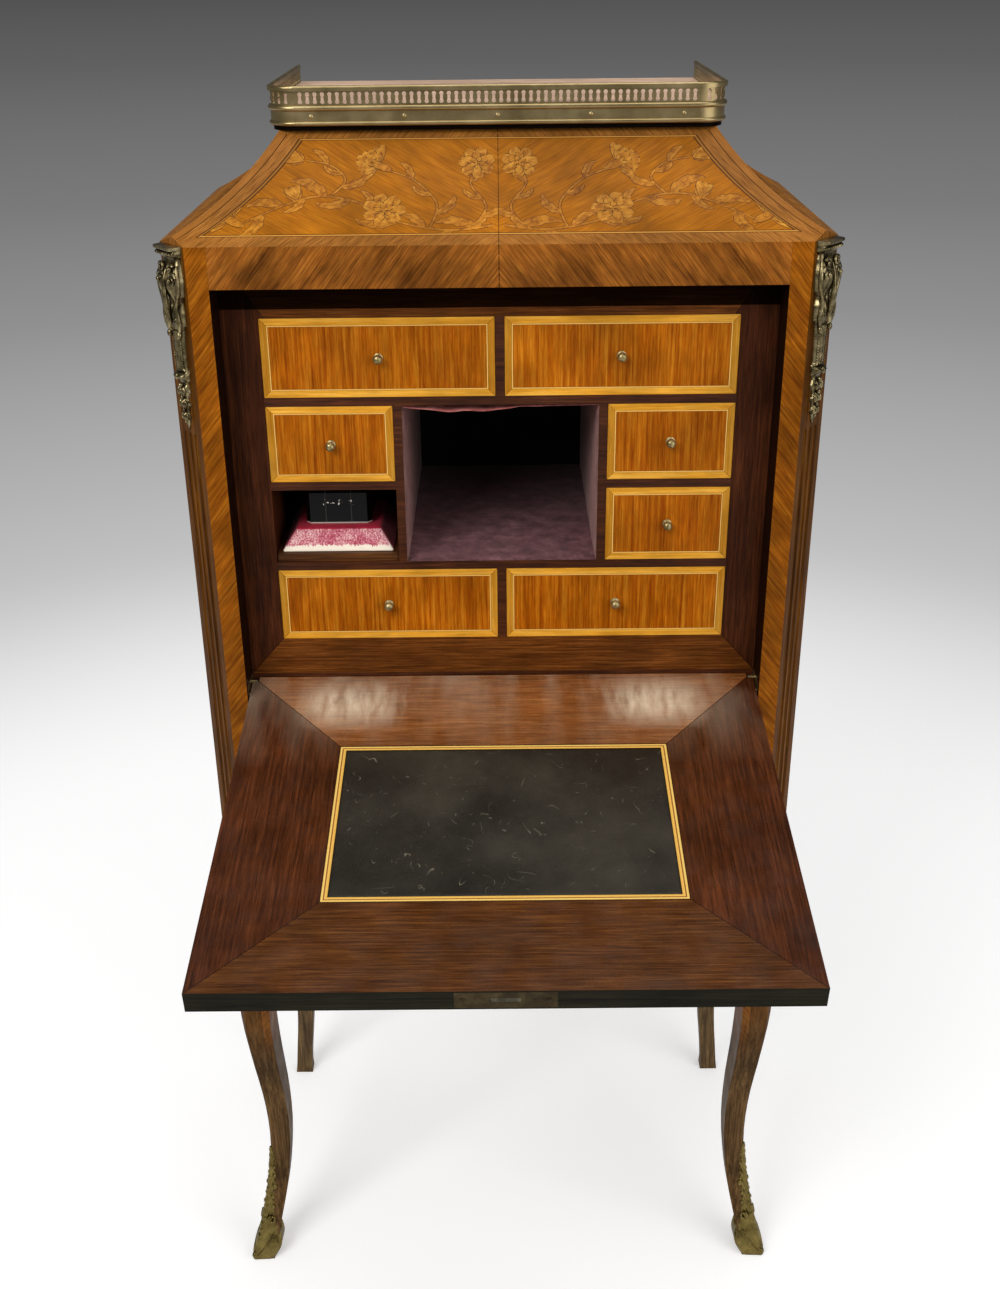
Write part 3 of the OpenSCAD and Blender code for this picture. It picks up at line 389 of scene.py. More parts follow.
@dataclass(frozen=True)
class PostFinish(Finish):
    """Front posts: slanting veneer on the front face, upright fibres on the canted corner and the leg."""

    face_half: float
    face_wide: float
    case_z: float

    def draw(self, graph: Graph) -> None:
        """Draws the post.

        Args:
            graph: the tree.
        """
        add = graph.add
        face, pores = STILE_WOOD.paint(graph, graph.folded, Grain.FALLING)
        cant, leg = (wood.paint(graph, graph.folded, Grain.UPRIGHT)[0] for wood in (CANT_WOOD, LEG_WOOD))
        body = add(LAY, add(MORE, graph.side, self.face_half + 0.2 * MM), face, cant)
        # Painted shade: the jamb inward of the front face is drawn near black
        body = graph.inlay(body, graph.side, (self.face_half - self.face_wide + 0.1 * MM, "#1c0c05"))
        low = add(RANGE, graph.xyz[2], self.case_z - 0.2, self.case_z - 0.05, 1.0, 0.0)
        graph.polish(add(LAY, low, body, leg), pores, 0.08, (0.3, 0.46), 0.06)


@dataclass(frozen=True)
class BandedFront(Finish):
    """A drawer front: striped veneer inside a light string and a mitred ochre band."""

    low: Vector
    high: Vector
    ground: Wood
    band_mm: float = 6.6
    string_mm: float = 0.9
    front_depth_mm: float = 2.0

    def draw(self, graph: Graph) -> None:
        """Draws the front, and the oak lining behind it.

        Args:
            graph: the tree.
        """
        add = graph.add
        middle, half = (self.low + self.high) / 2, (self.high - self.low) / 2
        x, y, z = add(SPLIT, add(MAP, graph.point, Location=(-middle.x, 0, -middle.z))).outputs
        beside, above = add(MINUS, half.x, add(SIZE, x)), add(MINUS, half.z, add(SIZE, z))
        rim, upright = add(LEAST, beside, above), add(LESS, beside, above)
        ground, pores = self.ground.paint(graph, graph.point, Grain.UPRIGHT)
        tall = add(TINT, 1.0, OCHRE.paint(graph, graph.point, Grain.UPRIGHT)[0], "#dcd6cc")
        band = add(LAY, upright, OCHRE.paint(graph, graph.point)[0], tall)
        band = graph.inlay(band, graph.off(beside, above), (0.22 * MM, "#6a3f12"))
        string_mm = self.band_mm + self.string_mm
        colour = graph.inlay(
            ground, rim, ((string_mm + 0.3) * MM, "#7b4a12"), (string_mm * MM, "#f3c068"),
            (self.band_mm * MM, "#8f5a18"), ((self.band_mm - 0.25) * MM, band),
        )
        lining, _ = OAK.paint(graph, add(JOIN, y, x, z))
        behind = add(MORE, y, self.low.y + self.front_depth_mm * MM)
        graph.polish(add(LAY, behind, colour, lining), pores, 0.06, (0.28, 0.42), 0.08)


@dataclass(frozen=True)
class MitredFrame(Finish):
    """Four rosewood members that meet in mitres round the nest; the foot is a warmer cut."""

    low: Vector
    high: Vector
    member: float
    foot: float
    head: float = 50 * MM

    def draw(self, graph: Graph) -> None:
        """Draws the frame.

        Args:
            graph: the tree.
        """
        add = graph.add
        z = graph.xyz[2]
        beside = add(PART, add(MINUS, self.high.x, graph.side), self.member)
        below = add(PART, add(MINUS, z, self.low.z), self.foot)
        above = add(PART, add(MINUS, self.high.z, z), self.head)
        end = add(LEAST, below, above)
        tall, pores = ROSEWOOD.paint(graph, graph.point, Grain.UPRIGHT)
        wide, _ = FOOT_ROSEWOOD.paint(graph, graph.point)
        colour = add(LAY, add(LESS, beside, end), wide, tall)
        colour = graph.inlay(colour, graph.off(beside, end), (0.012, "#140805"))
        # Painted shade: under the frieze the head member is drawn near black, as the frieze's shadow
        head = add(LESS, above, 1.0)
        colour = add(LAY, add(TIMES, head, 0.92), colour, "#050201")
        graph.polish(colour, pores, 0.08, (0.3, 0.48), add(RANGE, head, 0, 1, 0.09, 0.01))


class Edges(NamedTuple):
    """A piece of the fall when it is shut: its half width, its foot and its head."""

    half: float
    foot: float
    head: float


@dataclass(frozen=True)
class Fall:
    """Where the fall hangs: the hinge line, and the angle that it is let down by."""

    nodes: dict[str, Piece]
    pivot: Vector
    angle: float

    @classmethod
    def read(cls, frame: dict) -> "Fall":
        """Reads the hinge from the loaded frame."""
        hinge = next(joint for joint in frame["joints"] if joint["name"] == "fall_hinge")
        return cls(frame["nodes"], Vector(hinge["pos_m"]), math.radians(-hinge["range_deg"][0]))

    def shut(self, name: str) -> list[Vector]:
        """Gives a node's points as they are when the fall is shut."""
        back = Matrix.Rotation(-self.angle, 3, "X")
        return [self.pivot + back @ (v.co - self.pivot) for v in self.nodes[name].data.vertices]

    def edges(self, name: str) -> Edges:
        """Reads a node's edges.

        Args:
            name: the node's name.

        Returns:
            Its edges.
        """
        points = self.shut(name)
        rises = [point.z for point in points]
        return Edges(max(point.x for point in points), min(rises), max(rises))

    def let_down(self, point: Vector) -> Vector:
        """Moves a point of the shut fall to where it is when the fall is let down."""
        return self.pivot + Matrix.Rotation(self.angle, 3, "X") @ (point - self.pivot)

    def local(self, graph: Graph) -> Node:
        """Turns the place on the piece back to the shut fall's, where Z runs up it."""
        moved = self.pivot - Matrix.Rotation(-self.angle, 3, "X") @ self.pivot
        return graph.add(MAP, graph.point, Location=tuple(moved), Rotation=(-self.angle, 0, 0))

    def quarters(self, graph: Graph, edges: Edges) -> tuple[Node, Node, Node, Node]:
        """Folds a piece of the fall both ways.

        Args:
            graph: the tree.
            edges: the edges of the piece.

        Returns:
            The place from its middle, the folded place, and how far it is from the sides and the ends.
        """
        add = graph.add
        local = add(MAP, self.local(graph), Location=(0, 0, -(edges.foot + edges.head) / 2))
        x, y, z = add(SPLIT, local).outputs
        side, rise = add(SIZE, x), add(SIZE, z)
        beside, end = add(MINUS, edges.half, side), add(MINUS, (edges.head - edges.foot) / 2, rise)
        return local, add(JOIN, side, y, rise), beside, end


@dataclass(frozen=True)
class FallBorder(Finish):
    """The writing side: four glossy rosewood boards mitred round the leather, with painted reflections in the
    polish by the hinge.
    """

    fall: Fall

    def draw(self, graph: Graph) -> None:
        """Draws the boards and their wear.

        Args:
            graph: the tree.
        """
        add = graph.add
        outer, inner = self.fall.edges("fall_border"), self.fall.edges("fall_stringing")
        local = self.fall.local(graph)
        x, _, z = add(SPLIT, local).outputs
        side = add(SIZE, x)
        beside = add(PART, add(MINUS, outer.half, side), outer.half - inner.half)
        below = add(PART, add(MINUS, z, outer.foot), inner.foot - outer.foot)
        end = add(LEAST, below, add(PART, add(MINUS, outer.head, z), outer.head - inner.head))
        tall, pores = ROSEWOOD.paint(graph, local, Grain.UPRIGHT)
        # Painted reflection: the member by the hinge is drawn in a lighter rosewood, fading out towards the
        # leather
        rear = add(RANGE, z, inner.foot - 20 * MM, inner.foot + 60 * MM, 1, 0)
        wide = add(LAY, rear, WARM_ROSEWOOD.paint(graph, local)[0], REAR_ROSEWOOD.paint(graph, local)[0])
        colour = add(LAY, add(LESS, beside, end), wide, tall)
        # By the hinge the colour is painted paler in a cloudy band, most of all in two patches beside the ink
        # stand: painted reflections of the lights in the polish
        patch = graph.streaks(local, (26, 1, 6), Detail=4.0)
        painted_hinge_sheen = add(RANGE, z, outer.foot + 10 * MM, inner.foot + 30 * MM, 1, 0)
        fine = graph.streaks(local, (90, 1, 22), Detail=5.0)
        blur = add(TIMES, add(MINUS, fine, 0.5), 24 * MM)
        aside = graph.off(add(PLUS, side, blur), 152 * MM)
        rise = add(PLUS, graph.off(z, outer.foot + 46 * MM), blur)
        # Painted reflections: the two pale patches beside the ink stand
        worn = add(TIMES, add(RANGE, aside, 20 * MM, 62 * MM, 1, 0), add(RANGE, rise, 12 * MM, 50 * MM, 1, 0))
        worn = add(TIMES, worn, add(RANGE, fine, 0.36, 0.62, 0.3, 0.85))
        painted_hinge_sheen = add(TIMES, painted_hinge_sheen, add(RANGE, patch, 0.4, 0.66, 0.0, 0.24))
        colour = add(LAY, add(MOST, painted_hinge_sheen, worn), colour, "#dcc8ac")
        colour = graph.inlay(colour, graph.off(beside, end), (0.005, "#120905"))
        edge = add(MORE, z, outer.head - EDGE_WIDTH)
        colour = add(LAY, edge, colour, EDGE_BLACK)
        graph.polish(colour, pores, 0.05, (0.2, 0.36), add(RANGE, edge, 0, 1, 0.4, 0.06))


@dataclass(frozen=True)
class FallFace(Finish):
    """The outer side: four quarters of slanting veneer inside a mitred band."""

    fall: Fall
    band: float = 38 * MM

    def draw(self, graph: Graph) -> None:
        """Draws the quarters and their band.

        Args:
            graph: the tree.
        """
        add = graph.add
        _, quarter, beside, end = self.fall.quarters(graph, self.fall.edges("fall_border"))
        ground, pores = KINGWOOD.paint(graph, quarter, Grain.RISING)
        tall, wide = (BORDER.paint(graph, quarter, grain)[0] for grain in (Grain.UPRIGHT, Grain.ACROSS))
        bands = (
            (self.band + 1.6 * MM, "#e8b860"), (self.band, "#4a2608"),
            (self.band - 0.4 * MM, add(LAY, add(LESS, beside, end), tall, wide)),
        )
        colour = graph.inlay(ground, add(LEAST, beside, end), *bands)
        edge = add(LESS, end, EDGE_WIDTH)
        colour = add(LAY, edge, colour, EDGE_BLACK)
        graph.polish(colour, pores, 0.06, (0.26, 0.42), add(RANGE, edge, 0, 1, 0.25, 0.06))


@dataclass(frozen=True)
class Stringing(Finish):
    """Boxwood stringing round the leather: light, a brown line, and light again."""

    fall: Fall
    width: float = 7 * MM

    def draw(self, graph: Graph) -> None:
        """Draws the lines.

        Args:
            graph: the tree.
        """
        local, _, beside, end = self.fall.quarters(graph, self.fall.edges("fall_stringing"))
        lines = graph.add(
            RAMP,
            graph.add(RANGE, graph.add(LEAST, beside, end), 0.0, self.width, 0, 1),
            stops=[
                (0.0, "#33190a"), (0.17, "#3a1d0b"), (0.19, "#dcb65c"), (0.42, "#e9c56c"), (0.46, "#8a5320"),
                (0.6, "#9a6226"), (0.64, "#e2b65a"), (0.93, "#d6a548"), (0.97, "#2a1a0c"),
            ],
        )
        _, pores = OCHRE.paint(graph, local)
        graph.polish(graph.add(TINT, 0.6, lines, pores), pores, 0.04, (0.3, 0.45), 0.25)


@dataclass(frozen=True)
class CoveVeneer(Finish):
    """The cove: golden ground in mirrored halves, inside brown crossbanding with a light string."""

    slope: CoveSlope
    hip: float = 23 * MM
    foot: float = 13 * MM
    head: float = 7 * MM

    def draw(self, graph: Graph) -> None:
        """Draws the slope.

        Args:
            graph: the tree.
        """
        add, case = graph.add, self.slope.case
        _, y, z = graph.xyz
        depth, inset = add(MINUS, y, case.front), add(MINUS, case.half, graph.side)
        out, along = (inset, depth) if self.slope.side else (depth, inset)
        # The veneer is bent round the arc, so its fibres run straight along the arc's length
        cx, cz, _ = self.slope.arc()
        rise = add(TIMES, add(ANGLE, add(MINUS, cz, z), add(MINUS, out, cx)), -self.slope.radius)
        flat = add(JOIN, depth if self.slope.side else graph.side, 0.0, rise)
        ground, pores = GOLDEN.paint(graph, flat, Grain.SLANTING)
        band, _ = BORDER.paint(graph, flat, Grain.FALLING)
        hip = add(TIMES, add(MINUS, along, out), 1 / self.hip)
        head = add(TIMES, add(MINUS, case.cove_top, z), 1 / self.head)
        end = add(LEAST, add(TIMES, out, 1 / self.foot), head)
        rim, is_hip = add(LEAST, hip, end), add(LESS, hip, end)
        strings = ((1.2, "#5c340f", "#4a2a0c"), (1.13, "#c08a3c", "#8a5a22"), (1.04, "#5c340f", "#40240a"))
        lines = [(reach, add(LAY, is_hip, code, hip_code)) for reach, code, hip_code in strings]
        colour = graph.inlay(ground, rim, *lines, (0.98, band))
        # Along the hip lies a second, redder strip against a dark line
        for reach, strip in ((0.42, "#472809"), (0.37, add(LAY, 0.55, band, "#8f5a22"))):
            colour = add(LAY, add(TIMES, is_hip, add(LESS, rim, reach)), colour, strip)
        graph.polish(graph.inlay(colour, graph.side, (0.3 * MM, "#3a1f08")), pores, 0.06, (0.34, 0.5), 0.06)


@dataclass(frozen=True)
class SidePanel(Finish):
    """A side: upright-striped veneer in slanting halves inside a crossbanded border."""

    low: Vector
    high: Vector
    foot: float
    border: float = 26 * MM

    def draw(self, graph: Graph) -> None:
        """Draws the panel.

        Args:
            graph: the tree.
        """
        add = graph.add
        x, y, z = graph.xyz
        across = graph.off(y, (self.low.y + self.high.y) / 2)
        flat = add(JOIN, across, x, z)
        ground, pores = KINGWOOD.paint(graph, flat, Grain.FALLING)
        beside = add(MINUS, (self.high.y - self.low.y) / 2, across)
        end = add(LEAST, add(MINUS, self.high.z, z), add(MINUS, z, self.foot))
        tall, wide = (BORDER.paint(graph, flat, grain)[0] for grain in (Grain.UPRIGHT, Grain.ACROSS))
        bands = (
            (self.border + 1.8 * MM, "#d8a04a"), (self.border + 0.3 * MM, "#4a2608"),
            (self.border, add(LAY, add(LESS, beside, end), tall, wide)),
        )
        graph.polish(graph.inlay(ground, add(LEAST, beside, end), *bands), pores, 0.06, (0.28, 0.44), 0.25)


@dataclass(frozen=True)
class Metal(Finish):
    """Cast or rolled metal: a metallic surface with tarnish in its hollows and rubbed high places."""

    deep: str
    middle: str
    bright: str
    rough: tuple[float, float]
    patch_mm: float
    hollow_mm: float
    contrast: float = 0.1

    def draw(self, graph: Graph) -> None:
        """Draws the metal.

        Args:
            graph: the tree.
        """
        add = graph.add
        patches = add(NOISE, graph.point, Scale=1 / (self.patch_mm * MM), Detail=5.0, Roughness=0.65)
        low, high = 0.5 - self.contrast - 0.1, 0.5 + self.contrast + 0.1
        colour = add(RAMP, patches, stops=[(low, self.deep), (0.5, self.middle), (high, self.bright)])
        hollows = add(HOLLOWS, Distance=self.hollow_mm * MM).outputs["AO"]
        # Grit of the casting sand or of the polish, 0.5 mm
        grit = add(NOISE, graph.point, Scale=2200.0, Detail=2.0)
        bump = add(BUMP, Height=grit, Distance=0.03 * MM, Strength=0.5)
        colour = add(LAY, add(RANGE, hollows, 0.35, 0.85, 0, 1), self.deep, colour)
        rough = add(RANGE, patches, 0.35, 0.65, *self.rough)
        add(OUTPUT, add(SURFACE, colour, Metallic=0.92, Roughness=rough, Normal=bump))


@dataclass(frozen=True)
class Velvet(Finish):
    """Silk velvet: a dark pile that turns pale where it leans to the light, rubbed in patches, and where
    unlit is given, painted darker towards the back as shade.
    """

    deep: str
    middle: str
    rubbed: str
    sheen_tint: str
    sheen: float
    unlit: tuple[float, float] | None = None

    def draw(self, graph: Graph) -> None:
        """Draws the velvet.

        Args:
            graph: the tree.
        """
        add = graph.add
        rub = add(NOISE, graph.point, Scale=55.0, Detail=6.0, Roughness=0.7)
        colour = add(RAMP, rub, stops=[(0.34, self.deep), (0.52, self.middle), (0.72, self.rubbed)])
        # Pile tufts 0.4 mm apart, drawn at 0.8 mm so that they show
        pile = add(NOISE, graph.point, Scale=1250.0, Detail=2.0)
        lean = add(NOISE, graph.point, Scale=160.0, Detail=3.0)
        colour = add(TINT, 1.0, colour, add(RANGE, pile, 0.35, 0.65, 0.72, 1.18))
        if self.unlit:
            # Painted shade: the pile is drawn darker towards the back of the nest, where the light does not
            # reach
            colour = add(TINT, 1.0, colour, add(RANGE, graph.xyz[1], *self.unlit, 1.0, 0.1))
        self.pile(graph, colour, add(PLUS, pile, lean))

    def pile(self, graph: Graph, colour: object, height: object) -> None:
        """Ends the tree in a soft surface with a sheen at its edges.

        Args:
            graph: the tree.
            colour: the pile's colour.
            height: how high the pile stands.
        """
        bump = graph.add(BUMP, Height=height, Distance=0.4 * MM, Strength=0.8)
        sheen = {"Sheen_Weight": self.sheen, "Sheen_Roughness": 0.35, "Sheen_Tint": self.sheen_tint}
        graph.add(OUTPUT, graph.add(SURFACE, colour, Roughness=0.85, Normal=bump, **sheen))


@dataclass(frozen=True)
class LitShadedPile(Velvet):
    """The ink stand's velvet, with painted light and shade: its front painted pink as the lit face, with
    rubbed streaks and a ragged cream band at its foot; its flanks painted deep crimson and its top dark
    crimson as shaded.
    """

    low: Vector = Vector()
    high: Vector = Vector()

    def draw(self, graph: Graph) -> None:
        """Draws the velvet.

        Args:
            graph: the tree.
        """
        add = graph.add
        x, y, z = graph.xyz
        streak = graph.streaks(graph.point, (900, 250, 160), Detail=3.0)
        rub = add(NOISE, graph.point, Scale=70.0, Detail=4.0)
        grains = add(NOISE, graph.point, Scale=700.0, Detail=2.0)
        mixed = add(TIMES, add(TIMES, add(PLUS, streak, rub), 0.5), 0.55)
        mixed = add(PLUS, mixed, add(TIMES, grains, 0.45))
        # Painted light: the front slope is drawn in pale pinks as the face the light falls on; its streaks
        # and grains are rubbed pile
        front = add(RAMP, mixed, stops=[(0.4, self.middle), (0.5, "#c9707e"), (0.6, self.rubbed)])
        rise = add(RANGE, z, self.low.z, self.high.z, 0, 1)
        # A ragged cream band at the foot of the front: painted highlight where the light falls hard on that
        # edge, and bare pile
        front = graph.inlay(front, add(MINUS, rise, add(TIMES, streak, 0.34)), (0.1, "#f4e6d2"))
        # Painted shade: the sloping flanks are drawn in deep crimson
        gap = add(MINUS, (self.high.x - self.low.x) / 2, graph.off(x, (self.low.x + self.high.x) / 2))
        shaded_flank = add(RANGE, add(MINUS, add(MINUS, y, self.low.y), gap), 0.0, 2 * MM, 0, 1)
        colour = add(LAY, shaded_flank, front, add(RAMP, mixed, stops=[(0.4, self.deep), (0.62, self.middle)]))
        # Painted shade: the top is drawn dark crimson, as in the shadow of the shelf above
        top = add(RAMP, mixed, stops=[(0.38, "#8c0624"), (0.64, "#c01238")])
        self.pile(graph, add(LAY, add(MORE, z, self.high.z - 1.2 * MM), colour, top), streak)


@dataclass(frozen=True)
class Skiver(Finish):
    """Old black writing leather: fine pebbled grain, worn paler, with dry scratches."""

    def draw(self, graph: Graph) -> None:
        """Draws the leather.

        Args:
            graph: the tree.
        """
        add = graph.add
        wear = add(NOISE, graph.point, Scale=9.0, Detail=5.0, Roughness=0.6)
        tones = [(0.3, "#14130f"), (0.46, "#201f19"), (0.58, "#2c2920"), (0.76, "#3b362b")]
        colour = add(RAMP, wear, stops=tones)
        # Pebbles 0.7 mm across
        pebbles = add(PEBBLES, Vector=graph.point, Scale=1400.0).outputs["Distance"]
        crease = add(NOISE, graph.point, Scale=60.0, Detail=5.0, Distortion=1.2)
        # Scratches are where a noise crosses its middle, broken up by another
        marks = 0.0
        for seed, scale, thin in ((3.1, 13.0, 0.0032), (8.7, 24.0, 0.0042), (15.2, 40.0, 0.006)):
            moved = add(MAP, graph.point, Location=(seed, seed, seed))
            line = add(NOISE, moved, Scale=scale, Detail=1.0, Distortion=0.8)
            line = add(RANGE, graph.off(line, 0.5), 0.0, thin, 1.0, 0.0)
            broken = add(NOISE, moved, Scale=scale * 3.2, Detail=2.0)
            marks = add(MOST, add(TIMES, line, add(RANGE, broken, 0.58, 0.7, 0, 1)), marks)
        bump = add(BUMP, Height=add(PLUS, pebbles, crease), Distance=0.35 * MM, Strength=0.55)
        colour = add(LAY, add(TIMES, marks, 0.6), colour, "#8f8672")
        rough = add(RANGE, wear, 0.35, 0.65, 0.34, 0.56)
        add(OUTPUT, add(SURFACE, colour, Roughness=rough, Normal=bump, Specular_IOR_Level=0.3))


@dataclass(frozen=True)
class CutGlass(Finish):
    """Thick lead glass, painted nearly black as the dark nest seen through it."""

    low: Vector
    high: Vector

    def draw(self, graph: Graph) -> None:
        """Draws the glass.

        Args:
            graph: the tree.
        """
        add = graph.add
        x, _, z = graph.xyz
        rise = add(MINUS, z, self.low.z)
        aside = graph.off(x, (self.low.x + self.high.x) / 2)
        # Painted highlights: the colour is drawn pale, letting no light through, at the foot, beside the bore
        # and in sparks round the shoulder, as light thrown out by the thick walls
        foot = add(TIMES, add(LESS, rise, 2.4 * MM), 0.7)
        wall = add(TIMES, add(LESS, graph.off(aside, 12.5 * MM), 0.5 * MM), 0.05)
        spark = add(MORE, add(NOISE, graph.point, Scale=330.0, Detail=2.0), 0.61)
        band = graph.off(rise, (self.high.z - self.low.z) * 0.56)
        spark = add(TIMES, add(TIMES, spark, add(LESS, band, 3.0 * MM)), add(LESS, aside, 15 * MM))
        lit = add(MOST, foot, add(MOST, spark, wall))
        dust = add(NOISE, graph.point, Scale=240.0, Detail=3.0)
        glass = {
            "Roughness": add(RANGE, dust, 0.4, 0.7, 0.01, 0.07), "IOR": 1.54, "Specular_IOR_Level": 0.08,
            "Transmission_Weight": add(RANGE, lit, 0, 1, 0.3, 0),
        }
        # Painted shade: the glass itself is drawn near black
        add(OUTPUT, add(SURFACE, add(LAY, lit, "#060706", "#efe6d8"), **glass))


def only(piece: Piece) -> None:
    """Selects one piece alone and makes it active.

    Args:
        piece: the piece.
    """
    bpy.ops.object.select_all(action="DESELECT")
    piece.select_set(True)
    bpy.context.view_layer.objects.active = piece


def named(name: str) -> Piece:
    """Gives the active piece its name.

    Args:
        name: the name.

    Returns:
        The piece.
    """
    piece = bpy.context.view_layer.objects.active
    piece.name = piece.data.name = name
    return piece


def added(name: str, operator: Callable, **settings: object) -> Piece:
    """Adds a piece with an operator, while nothing else is selected.

    Args:
        name: the piece's name.
        operator: the operator.
        settings: its settings.

    Returns:
        The piece.
    """
    bpy.ops.object.select_all(action="DESELECT")
    operator(**settings)
    return named(name)


def changed(piece: Piece, kind: str, **settings: object) -> Piece:
    """Gives a piece a modifier, applies it, and puts the piece's place into its mesh.

    Args:
        piece: the piece.
        kind: the modifier's type.
        settings: the modifier's settings.

    Returns:
        The piece.
    """
    only(piece)
    bpy.ops.object.modifier_add(type=kind)
    modifier = piece.modifiers[0]
    for key, value in settings.items():
        setattr(modifier, key, value)
    bpy.ops.object.modifier_apply(modifier=modifier.name)
    bpy.ops.object.transform_apply(location=True, rotation=True, scale=True)
    return piece


def edited(piece: Piece, *operators: Callable) -> Piece:
    """Runs operators on all of a piece in edit mode.

    Args:
        piece: the piece.
        operators: what to run.

    Returns:
        The piece.
    """
    only(piece)
    bpy.ops.object.mode_set(mode="EDIT")
    bpy.ops.mesh.select_all(action="SELECT")
    for operator in operators:
        operator()
    bpy.ops.object.mode_set(mode="OBJECT")
    return piece


def copied(piece: Piece) -> Piece:
    """Adds a copy of a piece with its own mesh.

    Args:
        piece: the piece.

    Returns:
        The copy.
    """
    other = piece.copy()
    other.data = piece.data.copy()
    bpy.context.collection.objects.link(other)
    return other


def joined(pieces: Sequence[Piece], name: str) -> Piece:
    """Joins pieces into one mesh and names it.

    Args:
        pieces: the pieces.
        name: the whole's name.

    Returns:
        The whole.
    """
    only(pieces[0])
    for piece in pieces:
        piece.select_set(True)
    bpy.ops.object.join()
    return named(name)


def outward(piece: Piece) -> Piece:
    """Merges a piece's doubles and turns all its faces outwards."""
    merge = partial(bpy.ops.mesh.remove_doubles, threshold=0.01 * MM)
    return edited(piece, merge, partial(bpy.ops.mesh.normals_make_consistent, inside=False))


def shaded(piece: Piece, angle: float = 40) -> Piece:
    """Smooths the shading of all but a piece's sharp edges.

    Args:
        piece: the piece.
        angle: the bend in degrees from which an edge stays sharp.

    Returns:
        The piece.
    """
    only(piece)
    bpy.ops.object.shade_smooth_by_angle(angle=math.radians(angle))
    return piece


def sheet_form(name: str, across: int, along: int, place: Callable[[float, float], Vector]) -> Piece:
    """Adds a grid and moves each of its points.

    Args:
        name: the piece's name.
        across: how many cells the grid has across.
        along: how many cells it has along.
        place: gives a point's place from two numbers, each from 0 to 1.

    Returns:
        The shaped piece.
    """
    grid = bpy.ops.mesh.primitive_grid_add
    piece = added(name, grid, x_subdivisions=across, y_subdivisions=along, size=1)
    for vertex in piece.data.vertices:
        vertex.co = place(vertex.co.x + 0.5, vertex.co.y + 0.5)
    return piece


def dress(piece: Piece, material: bpy.types.Material) -> None:
    """Gives a piece one material.

    Args:
        piece: the piece.
        material: the material.
    """
    if not piece.material_slots:
        piece.data.materials.append(material)
    for place in piece.material_slots:
        place.material = material


def smooth(share: float) -> float:
    """Eases a share from 0 to 1."""
    share = min(1.0, max(0.0, share))
    return share * share * (3 - 2 * share)


def between(value: float, keys: Pairs) -> float:
    """Reads a value from a smooth curve through keys.

    Args:
        value: where to read.
        keys: places and values, with the places rising.

    Returns:
        The value there.
    """
    if value <= keys[0][0]:
        return keys[0][1]
    for (a, low), (b, high) in zip(keys, keys[1:]):
        if value <= b:
            return low + (high - low) * smooth((value - a) / (b - a))
    return keys[-1][1]


def bump_at(value: float, middle: float, spread: float) -> float:
    """Gives a soft bump's height at a value."""
    return math.exp(-(((value - middle) / spread) ** 2))


@dataclass(frozen=True)
class Case:
    """The case's own planes in metres, read from the frame so that the dressing always meets it."""

    half: float
    front: float
    back: float
    eave: float
    cove_top: float
    sill: float
    base: float

    @classmethod
    def read(cls) -> "Case":
        """Reads the planes from the frame's boxes.

        Returns:
            The planes.
        """
        side_low, side_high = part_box("side_right")
        rail_low, rail_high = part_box("lower_rail")
        return cls(
            half=side_high.x, front=rail_low.y, back=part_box("leg_back_right")[1].y, eave=side_high.z,
            cove_top=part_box("cove_front")[1].z, sill=rail_high.z, base=side_low.z,
        )


@dataclass
class Casting:
    """What the cast mounts share: bosses, bands and scrolls, placed in millimetres on the right one."""

    parts: list[Piece] = field(default_factory=list, init=False)

    def at(self, across: float, out: float, along: float) -> Vector:
        """Places a point given in millimetres across, out, and along the mount."""
        raise NotImplementedError

    def boss(self, across: float, out: float, along: float, *half: float) -> None:
        """Adds a boss: a ball drawn out to a half width, and a half height where it has its own.

        Args:
            across: its middle, across.
            out: its middle, outwards.
            along: its middle, along.
            half: its half width, and its half height.
        """
        ball = bpy.ops.mesh.primitive_uv_sphere_add
        piece = added("boss", ball, segments=16, ring_count=10, radius=1)
        middle, stretch = self.at(across, out, along), Vector((half[0], half[0], half[-1])) * MM
        for vertex in piece.data.vertices:
            vertex.co = middle + vertex.co * stretch
        self.parts.append(piece)

    def band(self, keys: Sequence[tuple[float, float, float]], thick: Sequence[float]) -> None:
        """Adds a tapered round band.

        Args:
            keys: its points, each across, out and along.
            thick: its radius at each point.
        """
        piece = added("band", bpy.ops.curve.primitive_nurbs_path_add)
        curve = piece.data
        curve.splines.clear()
        spline = curve.splines.new("POLY")
        spline.points.add(len(keys) - 1)
        for point, key, radius in zip(spline.points, keys, thick):
            point.co = (*self.at(*key), 1)
            point.radius = radius * MM
        curve.dimensions, curve.bevel_depth, curve.bevel_resolution = "3D", 1.0, 2
        curve.use_fill_caps = True
        only(piece)
        bpy.ops.object.convert(target="MESH")
        self.parts.append(outward(piece))

    def scroll(
        self, steps: int, key: Callable[[float], tuple[float, float, float]], thick: float, taper: float
    ) -> None:
        """Adds a band whose points and radius follow from a share.

        Args:
            steps: how many lengths it has.
            key: gives a point from its share of the way.
            thick: the radius where it starts.
            taper: how much thinner it ends.
        """
        shares = [i / steps for i in range(steps + 1)]
        self.band([key(share) for share in shares], [thick - taper * share for share in shares])

    def pair(self, name: str) -> Piece:
        """Joins the parts, and adds their mirror image over the middle of the case.

        Args:
            name: the mounts' name.

        Returns:
            Both mounts as one piece.
        """
        right = outward(joined(self.parts, name))
        left = copied(right)
        for vertex in left.data.vertices:
            vertex.co.x = -vertex.co.x
        left.data.flip_normals()
        return shaded(joined([right, left], name), 55)


